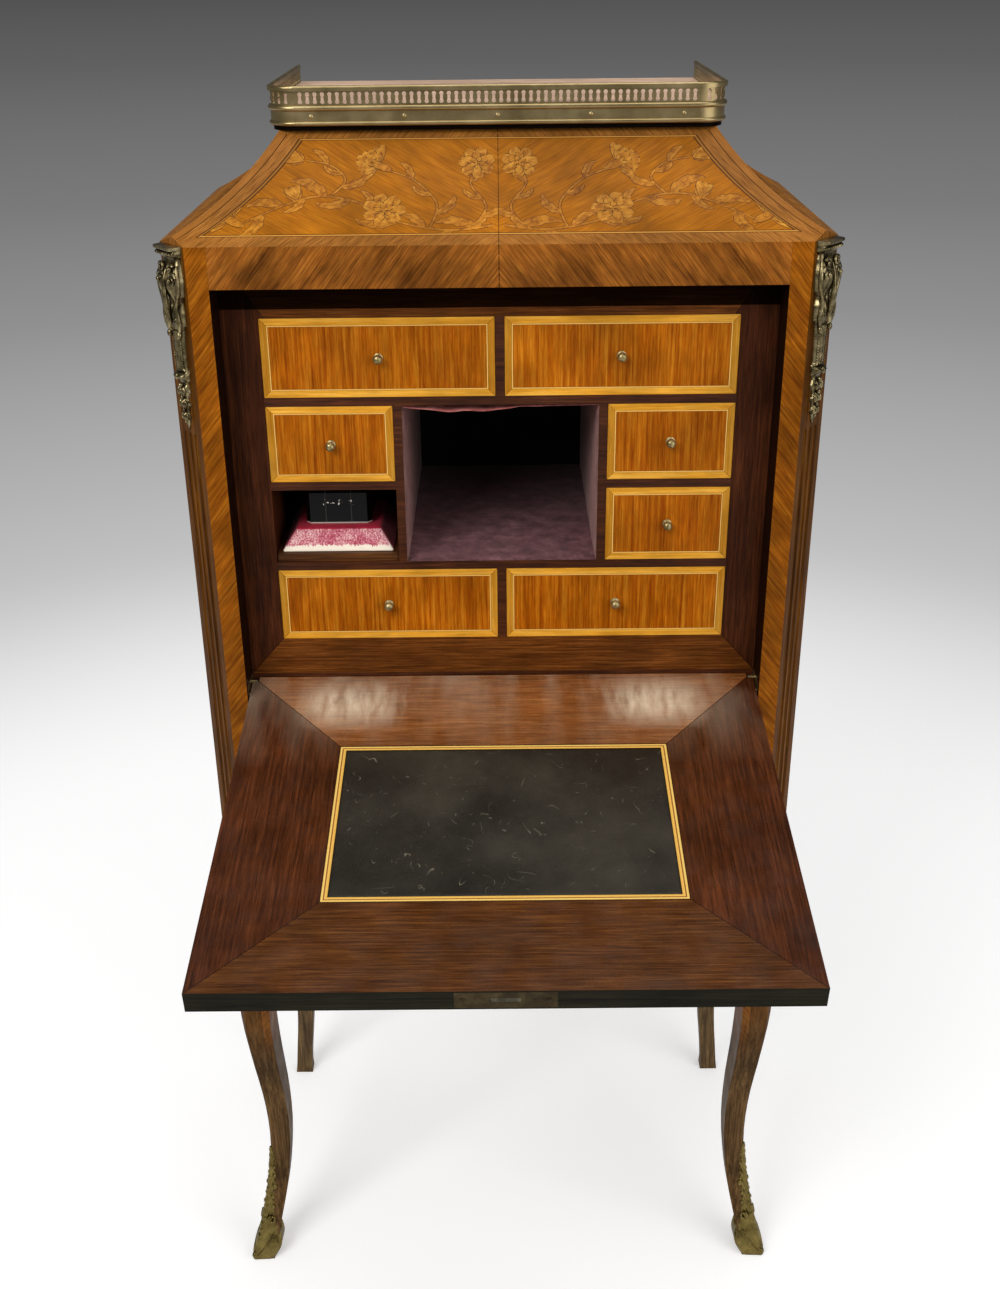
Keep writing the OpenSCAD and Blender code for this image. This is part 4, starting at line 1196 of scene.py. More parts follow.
@dataclass
class CornerMount(Casting):
    """A cast mount: abacus, paired volutes over a leaf, a grooved pilaster, a ring and husks.

    It lies on the canted corner. Its millimetres are across the cant, out, and down from the eave.
    """

    case: Case
    cant_mm: tuple[float, float] = (26.4, 32.0)
    height_mm: float = 165.0
    width_keys: tuple = (
        (0, 17.0), (9, 16.6), (12, 13.0), (17, 14.5), (30, 16.6), (42, 15.2), (50, 11.5), (58, 13.4),
        (68, 12.6), (76, 9.6), (82, 8.6), (108, 7.6), (111, 9.6), (119, 9.4), (123, 6.0), (130, 8.2),
        (137, 4.8), (142, 7.0), (149, 3.8), (154, 5.2), (160, 2.6), (165, 0.8),
    )
    pilaster_mm: tuple[float, float] = (74.0, 110.0)
    # For each scroll its eye across and down, its size, its turns, and how far out it lies
    scrolls: tuple = ((9.4, 29.0, 6.6, 1.6, 7.5), (7.6, 19.0, 4.2, 1.2, 7.0), (8.2, 63.0, 4.4, 1.3, 6.0))
    # The outer band from the neck to the lower scroll, and the middle leaf, each with its thickness
    outer: tuple = (
        (13.6, 4.5, 18, 1.4), (16.2, 6.0, 24, 1.9), (16.8, 6.6, 32, 2.2), (15.6, 6.2, 40, 2.1),
        (12.6, 6.6, 47, 1.8), (10.4, 7.0, 53, 1.7), (11.6, 6.8, 60, 2.0), (12.2, 5.8, 67, 2.1),
        (9.8, 5.2, 74, 1.5),
    )
    leaf: tuple = (
        (0, 7.5, 20, 1.2), (0, 10.6, 30, 2.2), (0, 11.4, 42, 2.6), (0, 10.4, 54, 2.6), (0, 8.6, 64, 2.5),
        (0, 9.6, 70, 2.2), (0, 7.4, 73, 0.8),
    )
    # Bosses, each across, out, down, half wide and half high: eye, drop and petals, then the knops
    bosses: tuple = (
        (9.4, 11.0, 29.0, 2.2, 2.2), (8.6, 5.6, 77.5, 2.6, 3.6),
        (4.2, 4.6, 129, 2.3, 4.37), (4.2, 4.2, 141, 2.0, 3.8), (4.2, 3.6, 153, 1.6, 3.04),
    )
    knops: tuple = (
        (0, 7.4, 115, 2.6, 3.12), (0, 5.2, 124, 2.2, 2.64), (0, 5.0, 135, 1.9, 2.28),
        (0, 4.2, 147, 1.6, 1.92), (0, 3.2, 158, 1.3, 1.56),
    )

    def at(self, across: float, out: float, along: float) -> Vector:
        """Places a point on the right cant.

        Args:
            across: across the cant.
            out: outwards.
            along: down from the eave.

        Returns:
            The place.
        """
        near = Vector((self.case.half - self.cant_mm[0] * MM, self.case.front, 0))
        far = Vector((self.case.half, self.case.front + self.cant_mm[1] * MM, 0))
        way = (far - near).normalized()
        flat = (near + far) / 2 + way * (across * MM) + Vector((way.y, -way.x, 0)) * (out * MM)
        return flat + Vector((0, 0, self.case.eave - along * MM))

    def relief(self, u: float, down: float) -> float:
        """Gives how far the casting stands out.

        Args:
            u: millimetres from the middle line.
            down: millimetres below the eave.

        Returns:
            The height in millimetres.
        """
        share = min(1.0, abs(u) / max(between(down, self.width_keys), 0.1))
        round_off = math.sqrt(max(0.0, 1 - share**4))
        start, end = self.pilaster_mm
        if down < 11:
            # A square fillet over a gadrooned ovolo
            lip = 10.8 - 3.6 * smooth((down - 2.8) / 0.9) - 2.4 * smooth((down - 7.6) / 2.6)
            lip += (2.2 + 0.7 * math.cos(u * 1.7)) * bump_at(down, 6.4, 1.7)
            return lip * math.sqrt(max(0.0, 1 - share**10)) + 0.5
        if start < down < end:
            groove = 1.1 * (bump_at(abs(u), 3.6, 0.8) + 0.6 * bump_at(abs(u), 6.2, 0.5))
            fade = smooth((down - start) / 4) * smooth((end - down) / 3)
            return (4.6 + 0.8 * bump_at(u, 0, 2.0)) * round_off + 0.4 - groove * fade
        if down >= end:
            ring = 7.2 * bump_at(down, 115.0, 3.4)
            husks = sum(high * bump_at(down, at, 4.2) for at, high in ((129, 5.6), (141, 5.0), (153, 4.2)))
            return (1.4 + ring + husks * (0.75 + 0.25 * math.cos(u * 1.35))) * round_off + 0.3
        bulge = 7.4 * bump_at(down, 32, 13) + 4.6 * bump_at(down, 60, 9) + 3.4
        veins = 0.8 * math.cos(u * 1.15 + 0.25 * math.sin(down * 0.5)) * bump_at(down, 44, 18)
        hollow = 3.0 * bump_at(down, 49, 3.2) * bump_at(abs(u), 7.5, 3.4)
        return (bulge + veins - hollow) * round_off + 0.3

    def plate(self, a: float, b: float) -> Vector:
        """Shapes the cast relief.

        Args:
            a: the share across it.
            b: the share down it.

        Returns:
            The point.
        """
        down = self.height_mm * b
        u = (2 * a - 1) * between(down, self.width_keys)
        if a in (0.0, 1.0) or b == 0.0:
            return self.at(u, 0, down)
        grit = 0.16 * noise.noise(Vector((u * 0.7, down * 0.7, 2)))
        return self.at(u, self.relief(u, down) + grit, down)

    def volute(
        self, side: int, eye: float, down: float, size: float, turns: float, rise: float, share: float
    ) -> tuple[float, float, float]:
        """Gives a point of one scroll, a tapering spiral.

        Args:
            side: 1 or -1 across the cant.
            eye: its eye, across.
            down: its eye, down.
            size: its outer radius.
            turns: how many turns it has.
            rise: how far out it lies.
            share: how far along it the point is.

        Returns:
            The point, across, out and down.
        """
        spot = cmath.rect(size * (1 - share) ** 0.75, 2 * math.pi * turns * share + 0.4)
        return side * (eye + spot.real), rise + 2.2 * share, down - spot.imag

    def build(self) -> Piece:
        """Builds both mounts.

        Returns:
            The mounts.
        """
        self.parts = [sheet_form("plate", 40, 330, self.plate)]
        for side in (-1, 1):
            for scroll in self.scrolls:
                self.scroll(46, partial(self.volute, side, *scroll), 1.9, 0.9)
            self.band([(side * u, *rest[:2]) for u, *rest in self.outer], [key[3] for key in self.outer])
            for u, *rest in self.bosses:
                self.boss(side * u, *rest)
            # Bead moulding up each edge of the pilaster
            for i in range(11):
                self.boss(side * 6.9, 4.2, 83.0 + 2.4 * i, 0.8, 0.9)
        self.band([key[:3] for key in self.leaf], [key[3] for key in self.leaf])
        for knop in self.knops:
            self.boss(*knop)
        return self.pair("corner_mounts_cast")


@dataclass
class LegRings:
    """The lower leg's outline, read from the frame's own post: corner and far sides by height."""

    rings: list[tuple[float, float, float, float, float]]

    @classmethod
    def read(cls, post: Piece, top: float = 0.18) -> "LegRings":
        """Reads the outline.

        Args:
            post: the right front post.
            top: how high up the leg to read.

        Returns:
            The outline.
        """
        levels: dict[float, list[Vector]] = {}
        for vertex in post.data.vertices:
            if vertex.co.z <= top:
                levels.setdefault(round(vertex.co.z, 4), []).append(vertex.co)
        return cls([
            (z, max(p.x for p in ps), min(p.y for p in ps), min(p.x for p in ps), max(p.y for p in ps))
            for z, ps in sorted(levels.items())
            if len(ps) >= 4
        ])

    def at(self, z: float) -> Sequence[float]:
        """Reads the outer x, the front y, the inner x and the rear y at a height.

        Args:
            z: the height.

        Returns:
            The four places.
        """
        rings = self.rings
        if z <= rings[0][0]:
            return rings[0][1:]
        for low, high in zip(rings, rings[1:]):
            if z <= high[0]:
                share = (z - low[0]) / (high[0] - low[0])
                return [a + (b - a) * share for a, b in zip(low[1:], high[1:])]
        return rings[-1][1:]


@dataclass
class Sabot(Casting):
    """A cast foot mount: a leaf up the front corner, a scroll ring, and a ribbed shoe round the foot.

    Its millimetres are round the front outer corner, towards the side where positive, then out, and up.
    """

    leg: LegRings
    bend: float = 3.0 * MM
    sunk_mm: float = -0.1
    leaf_mm: tuple[float, float] = (26.0, 154.0)
    reach_keys: tuple = (
        (28, 21.0), (40, 19.0), (47, 15.0), (54, 12.4), (62, 11.0), (68, 8.4), (73, 10.0), (78, 6.4),
        (84, 8.2), (90, 5.6), (98, 9.4), (106, 4.8), (113, 6.8), (119, 4.0), (126, 5.6), (132, 3.2),
        (139, 4.2), (145, 2.4), (154, 1.0),
    )
    # The ribs that sweep from under the ring to the toe, each point with its thickness, and how
    # much each next rib's points are nearer the corner and lower
    ribs: tuple = (
        (16, 1.2, 36, 0.7, 2, 3), (15.0, 2.9, 27, 1.2, 2.4, 2.4), (12, 3.5, 18, 1.4, 2.2, 2),
        (7, 3.2, 10.5, 1.2, 1.6, 1.2), (2.6, 3.0, 6.5, 0.8, 0.7, 0.6),
    )
    # Serrations of the leaf: height, place and size of each rounded lobe that leans up
    lobes: tuple = (
        (70, 8.6, 2.4), (83, 6.6, 2.1), (97, 7.2, 2.8), (112, 5.2, 2.0), (125, 4.2, 1.7), (138, 3.2, 1.3),
    )

    def at(self, across: float, out: float, along: float) -> Vector:
        """Places a point on the leg, wrapped round its front outer corner.

        Args:
            across: round the corner.
            out: outwards.
            along: the height.

        Returns:
            The place.
        """
        x, y, _, _ = self.leg.at(along * MM)
        bend, reach = self.bend, self.bend + out * MM
        centre = Vector((x - bend, y + bend, along * MM))
        beyond = abs(across) * MM - bend * math.pi / 4
        if beyond <= 0:
            angle = across * MM / bend - math.pi / 4
            return centre + Vector((math.cos(angle), math.sin(angle), 0)) * reach
        return centre + Vector((reach, beyond, 0) if across > 0 else (-beyond, -reach, 0))

    def leaf(self, a: float, b: float) -> Vector:
        """Shapes the leaf that climbs the corner.

        Args:
            a: the share across it.
            b: the share up it.

        Returns:
            The point.
        """
        foot, head = self.leaf_mm
        z = foot + (head - foot) * b
        share = abs(2 * a - 1)
        s = (2 * a - 1) * between(z, self.reach_keys)
        if share >= 0.999:
            return self.at(s, self.sunk_mm, z)
        ridge = 3.0 * bump_at(s, 0, 2.2) * (0.8 + 0.2 * math.cos(z * 0.8))
        veins = 0.5 * math.cos(abs(s) * 1.7 - z * 0.42)
        return self.at(s, (1.5 + ridge + veins) * math.sqrt(1 - share**6) * (1 - 0.35 * z / head), z)

    def shoe(self, a: float, b: float) -> Vector:
        """Shapes the closed shoe round the foot, ribbed like a leaf, with a wavy top edge.

        Args:
            a: the share of the turn round it.
            b: the share up it.

        Returns:
            The point.
        """
        angle = 2 * math.pi * a
        way = Vector((math.cos(angle), math.sin(angle)))
        to_toe = max(0.0, (way.x - way.y) * 0.7071)
        z = (33 + 12 * to_toe**2 + 1.8 * math.cos(angle * 9)) * b
        x1, y0, x0, y1 = self.leg.at(z * MM)
        swell = 2.6 * math.sin(math.pi * min(1.0, b * 1.05)) ** 0.8 + 0.6
        ribs = 0.55 * math.cos(angle * 12 + b * 2.2) * math.sin(math.pi * b)
        toe = 3.4 * to_toe**6 * bump_at(z, 5, 7)
        heel = 2.8 * max(0.0, -way.x) * bump_at(z, 20, 12)
        out = (swell + ribs + toe + heel if b < 1 else self.sunk_mm) * MM
        # A square with soft corners
        x, y = (math.copysign(abs(part) ** 0.42, part) for part in way)
        half = Vector(((x1 - x0) / 2 + out, (y1 - y0) / 2 + out, 0))
        return Vector(((x0 + x1) / 2, (y0 + y1) / 2, z * MM)) + half * Vector((x, y, 0))

    def ring(self, side: int, share: float) -> tuple[float, float, float]:
        """Gives a point of the open scroll on one face of the leg, from its share of the way."""
        spot = cmath.rect(5.6 * (1 - 0.62 * share), 2 * math.pi * 1.3 * share + 2.2)
        return side * (10.0 + spot.real * 0.8), 2.2 + share, 54.0 + spot.imag

    def build(self) -> Piece:
        """Builds both mounts.

        Returns:
            The mounts.
        """
        self.parts = [sheet_form("leaf", 36, 220, self.leaf), sheet_form("shoe", 72, 34, self.shoe)]
        for side in (-1, 1):
            self.scroll(30, partial(self.ring, side), 1.7, 0.6)
            for i in range(3):
                keys = [(side * (s - near * i), out, z - low * i) for s, out, z, _, near, low in self.ribs]
                self.band(keys, [rib[3] for rib in self.ribs])
            for z, s, size in self.lobes:
                self.boss(side * s, 1.4, z, size, size * 1.5)
        # Crockets up the corner, and the toe
        for i in range(13):
            size = 2.0 - 0.07 * i
            self.boss(0, 2.6 - 0.12 * i, 48 + 8.2 * i, size, size * 1.35)
        self.boss(0, 2.2, 6.0, 3.6, 4.0)
        return self.pair("sabots_cast")


@dataclass
class Plinth:
    """The velvet block that carries the inkwell: sloping sides, soft arrises, a flat top."""

    low: Vector
    high: Vector
    top_half: float = 41 * MM
    arris: float = 2.6 * MM

    def build(self) -> Piece:
        """Builds the block.

        Returns:
            The block.
        """
        middle = (self.low + self.high) / 2
        cube = bpy.ops.mesh.primitive_cube_add
        block = added("ink_plinth_velvet", cube, size=1, location=middle, scale=self.high - self.low)
        bpy.ops.object.transform_apply(location=True, rotation=True, scale=True)
        for vertex in block.data.vertices:
            if vertex.co.z > middle.z:
                vertex.co.x = middle.x + math.copysign(self.top_half, vertex.co.x - middle.x)
                vertex.co.y = middle.y + math.copysign(self.top_half, vertex.co.y - middle.y)
        changed(block, "BEVEL", width=self.arris, segments=4)
        edited(block, partial(bpy.ops.mesh.subdivide, number_cuts=14))
        for vertex in block.data.vertices:
            side = vertex.co - middle
            slope = smooth((self.high.z - vertex.co.z) / (4 * MM))
            dent = 0.35 * MM * slope * (noise.noise(vertex.co * 70) - 0.4)
            vertex.co += Vector((side.x, side.y, 0)).normalized() * dent
        return shaded(block, 60)


@dataclass
class InkWell:
    """The square inkwell of thick glass: chamfered edges, a short neck, and a round hollow."""

    low: Vector
    high: Vector
    body_share: float = 34 / 41
    neck: float = 17 * MM
    bore: float = 13 * MM
    floor: float = 6 * MM
    cut: float = 4 * MM

    def turned(self, well: Piece, way: str, radius: float, foot: float, head: float) -> None:
        """Adds an upright cylinder on the well's axis to it, or takes it out.

        Args:
            well: the well.
            way: the boolean's operation.
            radius: the cylinder's radius.
            foot: how high it starts.
            head: how high it ends.
        """
        middle = (self.low + self.high) / 2
        place = (middle.x, middle.y, (foot + head) / 2)
        cylinder = bpy.ops.mesh.primitive_cylinder_add
        part = added("round", cylinder, vertices=48, radius=radius, depth=head - foot, location=place)
        changed(well, "BOOLEAN", object=part, operation=way)
        bpy.data.objects.remove(part)

    def build(self) -> Piece:
        """Builds the well.

        Returns:
            The well.
        """
        middle, size = (self.low + self.high) / 2, self.high - self.low
        half, tall = size.x / 2, size.z * self.body_share
        cylinder = bpy.ops.mesh.primitive_cylinder_add
        well = added("inkwell_glass", cylinder, vertices=8, radius=half, depth=tall)
        for vertex in well.data.vertices:
            # The eight corners of a square whose four upright edges are cut off
            angle = math.atan2(vertex.co.y, vertex.co.x) + math.pi / 8
            quarter = math.floor(angle / (math.pi / 2) + 0.5) * math.pi / 2
            corner = Vector((half, math.copysign(half - self.cut, angle - quarter), 0))
            place = Vector((middle.x, middle.y, vertex.co.z + self.low.z + tall / 2))
            vertex.co = place + Matrix.Rotation(quarter, 3, "Z") @ corner
        changed(well, "BEVEL", width=1.6 * MM, angle_limit=math.radians(60))
        self.turned(well, "UNION", self.neck, self.low.z + tall - 1 * MM, self.high.z)
        self.turned(well, "DIFFERENCE", self.bore, self.low.z + self.floor, self.high.z + 1 * MM)
        return shaded(well, 30)


@dataclass
class WritingLeather:
    """The skiver let into the fall, turned down at its edges."""

    fall: Fall

    @cached_property
    def edges(self) -> Edges:
        """Gives the leather's edges."""
        return self.fall.edges("fall_leather")

    @cached_property
    def face(self) -> float:
        """Gives the plane of its face when the fall is shut."""
        return max(point.y for point in self.fall.shut("fall_leather"))

    def place(self, a: float, b: float) -> Vector:
        """Shapes the leather, with the slight waves of an old glued skin.

        Args:
            a: the share across it.
            b: the share up it.

        Returns:
            The point.
        """
        half, foot, head = self.edges
        x, z = (2 * a - 1) * half, foot + (head - foot) * b
        rim = min(half - abs(x), z - foot, head - z)
        drop = 0.5 * MM * (1 - smooth(rim / (1.6 * MM)))
        wave = 0.12 * MM * (noise.noise(Vector((x, z, 0)) * 22) - 0.6)
        return self.fall.let_down(Vector((x, self.face - drop + wave * smooth(rim / (4 * MM)), z)))

    def build(self) -> Piece:
        """Builds the leather."""
        return shaded(sheet_form("writing_leather", 150, 100, self.place), 80)

    def flat(self) -> tuple[float, float]:
        """Gives the skin's cut size in metres."""
        return 2 * self.edges.half, self.edges.head - self.edges.foot


@dataclass
class LockScrews:
    """The two slotted screws in the lock's edge plate."""

    fall: Fall
    radius: float = 2.3 * MM
    rise: float = 0.45 * MM
    slot: float = 0.5 * MM
    arris: float = 0.25 * MM
    apart: float = 34 * MM
    slants: tuple[float, float] = (35, -20)

    def head(self) -> Piece:
        """Builds one head round the origin, facing up.

        Returns:
            The head.
        """
        cylinder, cube = bpy.ops.mesh.primitive_cylinder_add, bpy.ops.mesh.primitive_cube_add
        head = added("screw_head", cylinder, vertices=32, radius=self.radius, depth=2 * self.rise)
        changed(head, "BEVEL", width=self.arris, segments=2)
        size = (self.slot, 3 * self.radius, self.rise)
        cutter = added("screw_slot", cube, size=1, location=(0, 0, self.rise), scale=size)
        changed(head, "BOOLEAN", object=cutter, operation="DIFFERENCE")
        bpy.data.objects.remove(cutter)
        return head

    def build(self) -> Piece:
        """Sets the screws in the lock's face.

        Returns:
            Both screws as one piece.
        """
        shut = self.fall.shut("lock_body")
        face = max(point.z for point in shut)
        depths = [point.y for point in shut if point.z > face - 0.1 * MM]
        turn = Matrix.Rotation(self.fall.angle, 3, "X")
        heads = [self.head()]
        heads.append(copied(heads[0]))
        for head, side, slant in zip(heads, (-1, 1), self.slants):
            middle = self.fall.let_down(Vector((side * self.apart, (min(depths) + max(depths)) / 2, face)))
            way = turn @ Vector((0, 0, 1))
            aim = way.to_track_quat("Z", "Y").to_matrix() @ Matrix.Rotation(math.radians(slant), 3, "Z")
            for vertex in head.data.vertices:
                vertex.co = middle + aim @ vertex.co
        return shaded(joined(heads, "lock_screws"), 40)


@dataclass
class VelvetNest:
    """The open middle of the nest: velvet on the floor, sides and back, and a cloth under the top."""

    low: Vector
    high: Vector
    pile: float = 1.2 * MM
    rear_pile: float = 1.5 * MM
    sag_mm: float = 5.5

    def at(self, u: float, v: float, w: float) -> Vector:
        """Places a point by its shares of the width, the depth and the height."""
        return self.low + (self.high - self.low) * Vector((u, v, w))

    def floor(self, u: float, v: float) -> Vector:
        """Shapes the floor cloth, a little uneven.

        Args:
            u: the share across it.
            v: the share from its front.

        Returns:
            The point.
        """
        point = self.at(u, v, 0)
        lift = self.pile + 0.5 * MM * noise.noise(Vector((point.x, point.y, 0)) * 30)
        return point + Vector((0, 0, lift * smooth(v * 30)))

    def wall(self, side: int, u: float, v: float) -> Vector:
        """Shapes a side cloth, whose front edge is turned in.

        Args:
            side: -1 for the left cloth and 1 for the right one.
            u: the share from its front.
            v: the share up it.

        Returns:
            The point.
        """
        point = self.at((1 + side) / 2, u, v)
        point.x -= side * self.pile
        point.x += 0.3 * MM * noise.noise(point * 40) + side * self.pile * (1 - smooth(u * 30))
        return point

    def rear(self, u: float, v: float) -> Vector:
        """Shapes the back cloth."""
        return self.at(u, 1, v) - Vector((0, self.rear_pile, 0))

    def ceiling(self, u: float, v: float) -> Vector:
        """Shapes the crimson cloth nailed under the top, which sags between its edges.

        Args:
            u: the share across it.
            v: the share from its front.

        Returns:
            The point.
        """
        point = self.at(u, v, 1)
        # It has come loose on the left of the front edge
        loose = math.sin(math.pi * min(1, u * 1.65 + 0.02)) ** 0.8
        droop = 0.2 * math.sin(math.pi * u) + 0.8 * loose * (1 - smooth(v * 2.2))
        crease = 1.3 * noise.noise(Vector((point.x * 60, point.y * 14, 0.4)))
        return point - Vector((0, 0, (1.2 + (self.sag_mm + crease) * droop) * MM))


@dataclass(frozen=True)
class CoveSlope:
    """One hollow slope of the cove, front (0), left (-1) or right (1), and how a drawing is laid on it."""

    case: Case
    side: int
    radius: float = 0.25
    draw_in: float = 0.1024

    def arc(self) -> tuple[float, float, float]:
        """Works out the arc's centre, as an inset and a height, and the angle where it starts.

        Returns:
            The inset, the height and the angle.
        """
        foot = Vector((0, self.case.eave))
        chord = Vector((self.draw_in, self.case.cove_top)) - foot
        reach = math.sqrt(self.radius**2 - (chord.length / 2) ** 2)
        centre = foot + chord / 2 + Vector((-chord.y, chord.x)).normalized() * reach
        return centre.x, centre.y, math.asin((centre.y - foot.y) / self.radius)

    def inset(self, v: float) -> float:
        """Gives how far in the slope is, v metres up it."""
        cx, _, start = self.arc()
        return cx + self.radius * math.cos(start - v / self.radius)

    def lay(self, u: float, v: float, proud: float) -> Vector:
        """Places a point of the drawing.

        Args:
            u: metres from the slope's middle.
            v: metres up the slope from the eave.
            proud: metres above the veneer.

        Returns:
            The point.
        """
        cx, cz, start = self.arc()
        case, spot = self.case, cmath.rect(self.radius - proud, start - v / self.radius)
        inset, z = cx + spot.real, cz - spot.imag
        if self.side == 0:
            return Vector((u, case.front + inset, z))
        return Vector((self.side * (case.half - inset), (case.front + case.back) / 2 + self.side * u, z))


class Tone(Enum):
    """The woods of the marquetry, by what they draw, each with its wood."""

    LINE = ("shaded_line", Wood("#452508", "#59330e", "#6e4416", 3.0, 40, 0.5, 0.16, 0.2, 0.2))
    LEAF = ("sycamore_leaf", Wood("#7c450c", "#a06416", "#b87a22", 5.0, 14, 0.7, 0.16, 0.2, 0.3))
    PETAL = ("boxwood_petal", Wood("#864c0e", "#a96e1c", "#c0862e", 4.0, 10, 0.7, 0.16, 0.2, 0.25))
    VEIN = ("engraved_vein", Wood("#5e3a0e", "#744b15", "#875a1e", 3.0, 40, 0.5, 0.16, 0.2, 0.2))


Line = Sequence[complex]


def flowing(points: Line, steps: int) -> Line:
    """Draws a smooth line through points.

    Args:
        points: the points.
        steps: how many pieces each stretch is drawn in.

    Returns:
        The points of the smooth line.
    """
    ends = [points[0], *points, points[-1]]
    line = []
    for a, b, c, d in zip(ends, ends[1:], ends[2:], ends[3:]):
        for t in (i / steps for i in range(steps)):
            bend = (2 * a - 5 * b + 4 * c - d) * t * t + (3 * b - a - 3 * c + d) * t**3
            line.append(0.5 * (2 * b + (c - a) * t + bend))
    return [*line, points[-1]]


@dataclass
class Marquetry:
    """Sprays of lobed leaves and flowers, sawn from slightly paler woods and laid in the cove.

    Each motif is a ribbon along a middle line. The drawing is in millimetres, for one half of the
    slope, and the other half mirrors it. A point is a complex number, across and up.
    """

    slope: CoveSlope
    spread: float
    size: float
    rim: float = 27.0
    line: float = 0.62
    steps: int = 14
    ribbons: dict[Tone, list[list[tuple[Vector, Vector]]]] = field(default_factory=dict)

    def put(self, point: complex, flip: int, proud: float) -> Vector:
        """Places a point, kept inside the border.

        Args:
            point: the drawing's point.
            flip: 1, or -1 for the mirrored half.
            proud: how far it stands above the veneer.

        Returns:
            The place.
        """
        up = min(max(point.imag, 16.5), 123.0)
        limit = self.spread - self.slope.inset(up * MM) / MM - self.rim
        return self.slope.lay(flip * min(max(point.real, 0.4), limit) * MM, up * MM, proud * MM)

    def ribbon(self, tone: Tone, line: Line, widths: Pairs, proud: float) -> None:
        """Lays one ribbon on both halves.

        Args:
            tone: its wood.
            line: its middle line.
            widths: how far it reaches to the left and right of each point of the line.
            proud: how far it stands above the veneer.
        """
        last = len(line) - 1
        edges = []
        for row in range(self.steps + 1):
            at = row / self.steps * last
            i = min(int(at), last - 1)
            t = at - i
            point = line[i] + (line[i + 1] - line[i]) * t
            left, right = (a + (b - a) * t for a, b in zip(widths[i], widths[i + 1]))
            way = line[i + 1] - line[max(0, i - (t == 0))]
            aside = 1j * way / abs(way)
            edges.append((point + aside * left, point - aside * right))
        for flip in (1, -1):
            laid = [tuple(self.put(point, flip, proud) for point in pair) for pair in edges]
            self.ribbons.setdefault(tone, []).append(laid)

    def lined(self, tone: Tone, line: Line, widths: Pairs, rise: float = 0) -> None:
        """Lays a ribbon with a fine dark line round it.

        Args:
            tone: its wood.
            line: its middle line.
            widths: how far it reaches to the left and right of each point.
            rise: how far it stands above the lowest ribbons.
        """
        self.ribbon(Tone.LINE, line, [(a + self.line, b + self.line) for a, b in widths], 0.04 + rise)
        self.ribbon(tone, line, widths, 0.07 + rise)

    def leaf(
        self, at: complex, heading: float, long: float, wide: float, curl: float, lobes: int = 4
    ) -> None:
        """Lays one leaf with lobed edges, a curling tip and a vein.

        Args:
            at: where its stalk is.
            heading: which way it grows, in radians.
            long: its length.
            wide: its greatest half width.
            curl: how far its tip turns, in radians.
            lobes: how many lobes each side has.
        """
        long, wide = long * self.size, wide * self.size
        line, widths = [at], [(0.15, 0.15)]
        for share in ((i + 1) / self.steps for i in range(self.steps)):
            line.append(line[-1] + cmath.rect(long / self.steps, heading + curl * share * share))
            body = wide * math.sin(math.pi * share**0.75) ** 0.7
            teeth = [0.72 + 0.42 * ((share * lobes + shift) % 1) for shift in (0.0, 0.45)]
            widths.append(tuple(max(0.1, body * tooth) for tooth in teeth))
        self.lined(Tone.LEAF, line, widths)
        self.ribbon(Tone.VEIN, line[1:-3], [(0.26, 0.26)] * (len(line) - 4), 0.11)

    def stem(self, line: Line, start: float, end: float) -> None:
        """Lays a tapering stalk, in lengths of a few points each.

        Args:
            line: its middle line.
            start: its half width at the foot.
            end: its half width at the tip.
        """
        last = len(line) - 1
        for i in range(0, last, self.steps):
            part = line[i : i + self.steps + 1]
            spans = [start + (end - start) * (i + k) / last for k in range(len(part))]
            self.lined(Tone.LEAF, part, [(span, span) for span in spans])

    def petal(
        self, at: complex, heading: float, inner: float, outer: float, wide: float, rise: float
    ) -> None:
        """Lays one petal that opens into a broad notched end.

        Args:
            at: the flower's middle.
            heading: which way the petal points.
            inner: where it starts.
            outer: where it ends.
            wide: its greatest half width.
            rise: how far it stands above the leaves.
        """
        line, widths = [], []
        for share in (i / 8 for i in range(9)):
            line.append(at + cmath.rect(inner + (outer - inner) * share, heading))
            fan = wide * math.sin(math.pi * (0.08 + share * 0.84)) ** 0.6 * (0.3 + 0.7 * share)
            widths.append((max(0.1, fan), max(0.1, fan * 0.9)))
        self.lined(Tone.PETAL, line, widths, rise)
        self.ribbon(Tone.VEIN, line[1:6], [(0.13, 0.13)] * 5, 0.12 + rise)

    def rose(self, at: complex, reach: float, turn: float) -> None:
        """Lays an open flower: three rings of petals round a seeded eye.

        Args:
            at: its middle.
            reach: its radius.
            turn: how far it is turned.
        """
        reach *= self.size
        for ring, (share, count) in enumerate(((1.0, 7), (0.68, 6), (0.4, 5))):
            long = reach * share
            for k in range(count):
                heading = turn + 0.5 * ring + 2 * math.pi * k / count
                self.petal(at, heading, long * 0.12, long, long * 0.46, 0.07 * (ring + 1))
        for k in range(3):
            self.petal(at, turn + 2.1 * k, 0, reach * 0.16, reach * 0.12, 0.3)

    def carnation(self, at: complex, heading: float, reach: float) -> None:
        """Lays a fan of ruffled petals that stands in a long cup.

        Args:
            at: the fan's middle.
            heading: which way it opens.
            reach: how long its petals are.
        """
        reach *= self.size
        for ring, (share, count) in enumerate(((1.0, 9), (0.74, 7), (0.46, 4))):
            for k in range(count):
                lean = (k / (count - 1) - 0.5) * (2.5 - 0.35 * ring)
                long = reach * share * (1 + 0.1 * math.sin(5 * k + ring))
                self.petal(at, heading + lean, reach * 0.1, long, reach * share * 0.24, 0.07 * (ring + 1))
        line = [at - cmath.rect(reach * 0.62, heading) * (1 - i / 6) for i in range(9)]
        cup = [0.4 + reach * 0.17 * math.sin(math.pi * (0.1 + 0.08 * i)) for i in range(9)]
        self.lined(Tone.LEAF, line, [(w, w) for w in cup], 0.3)

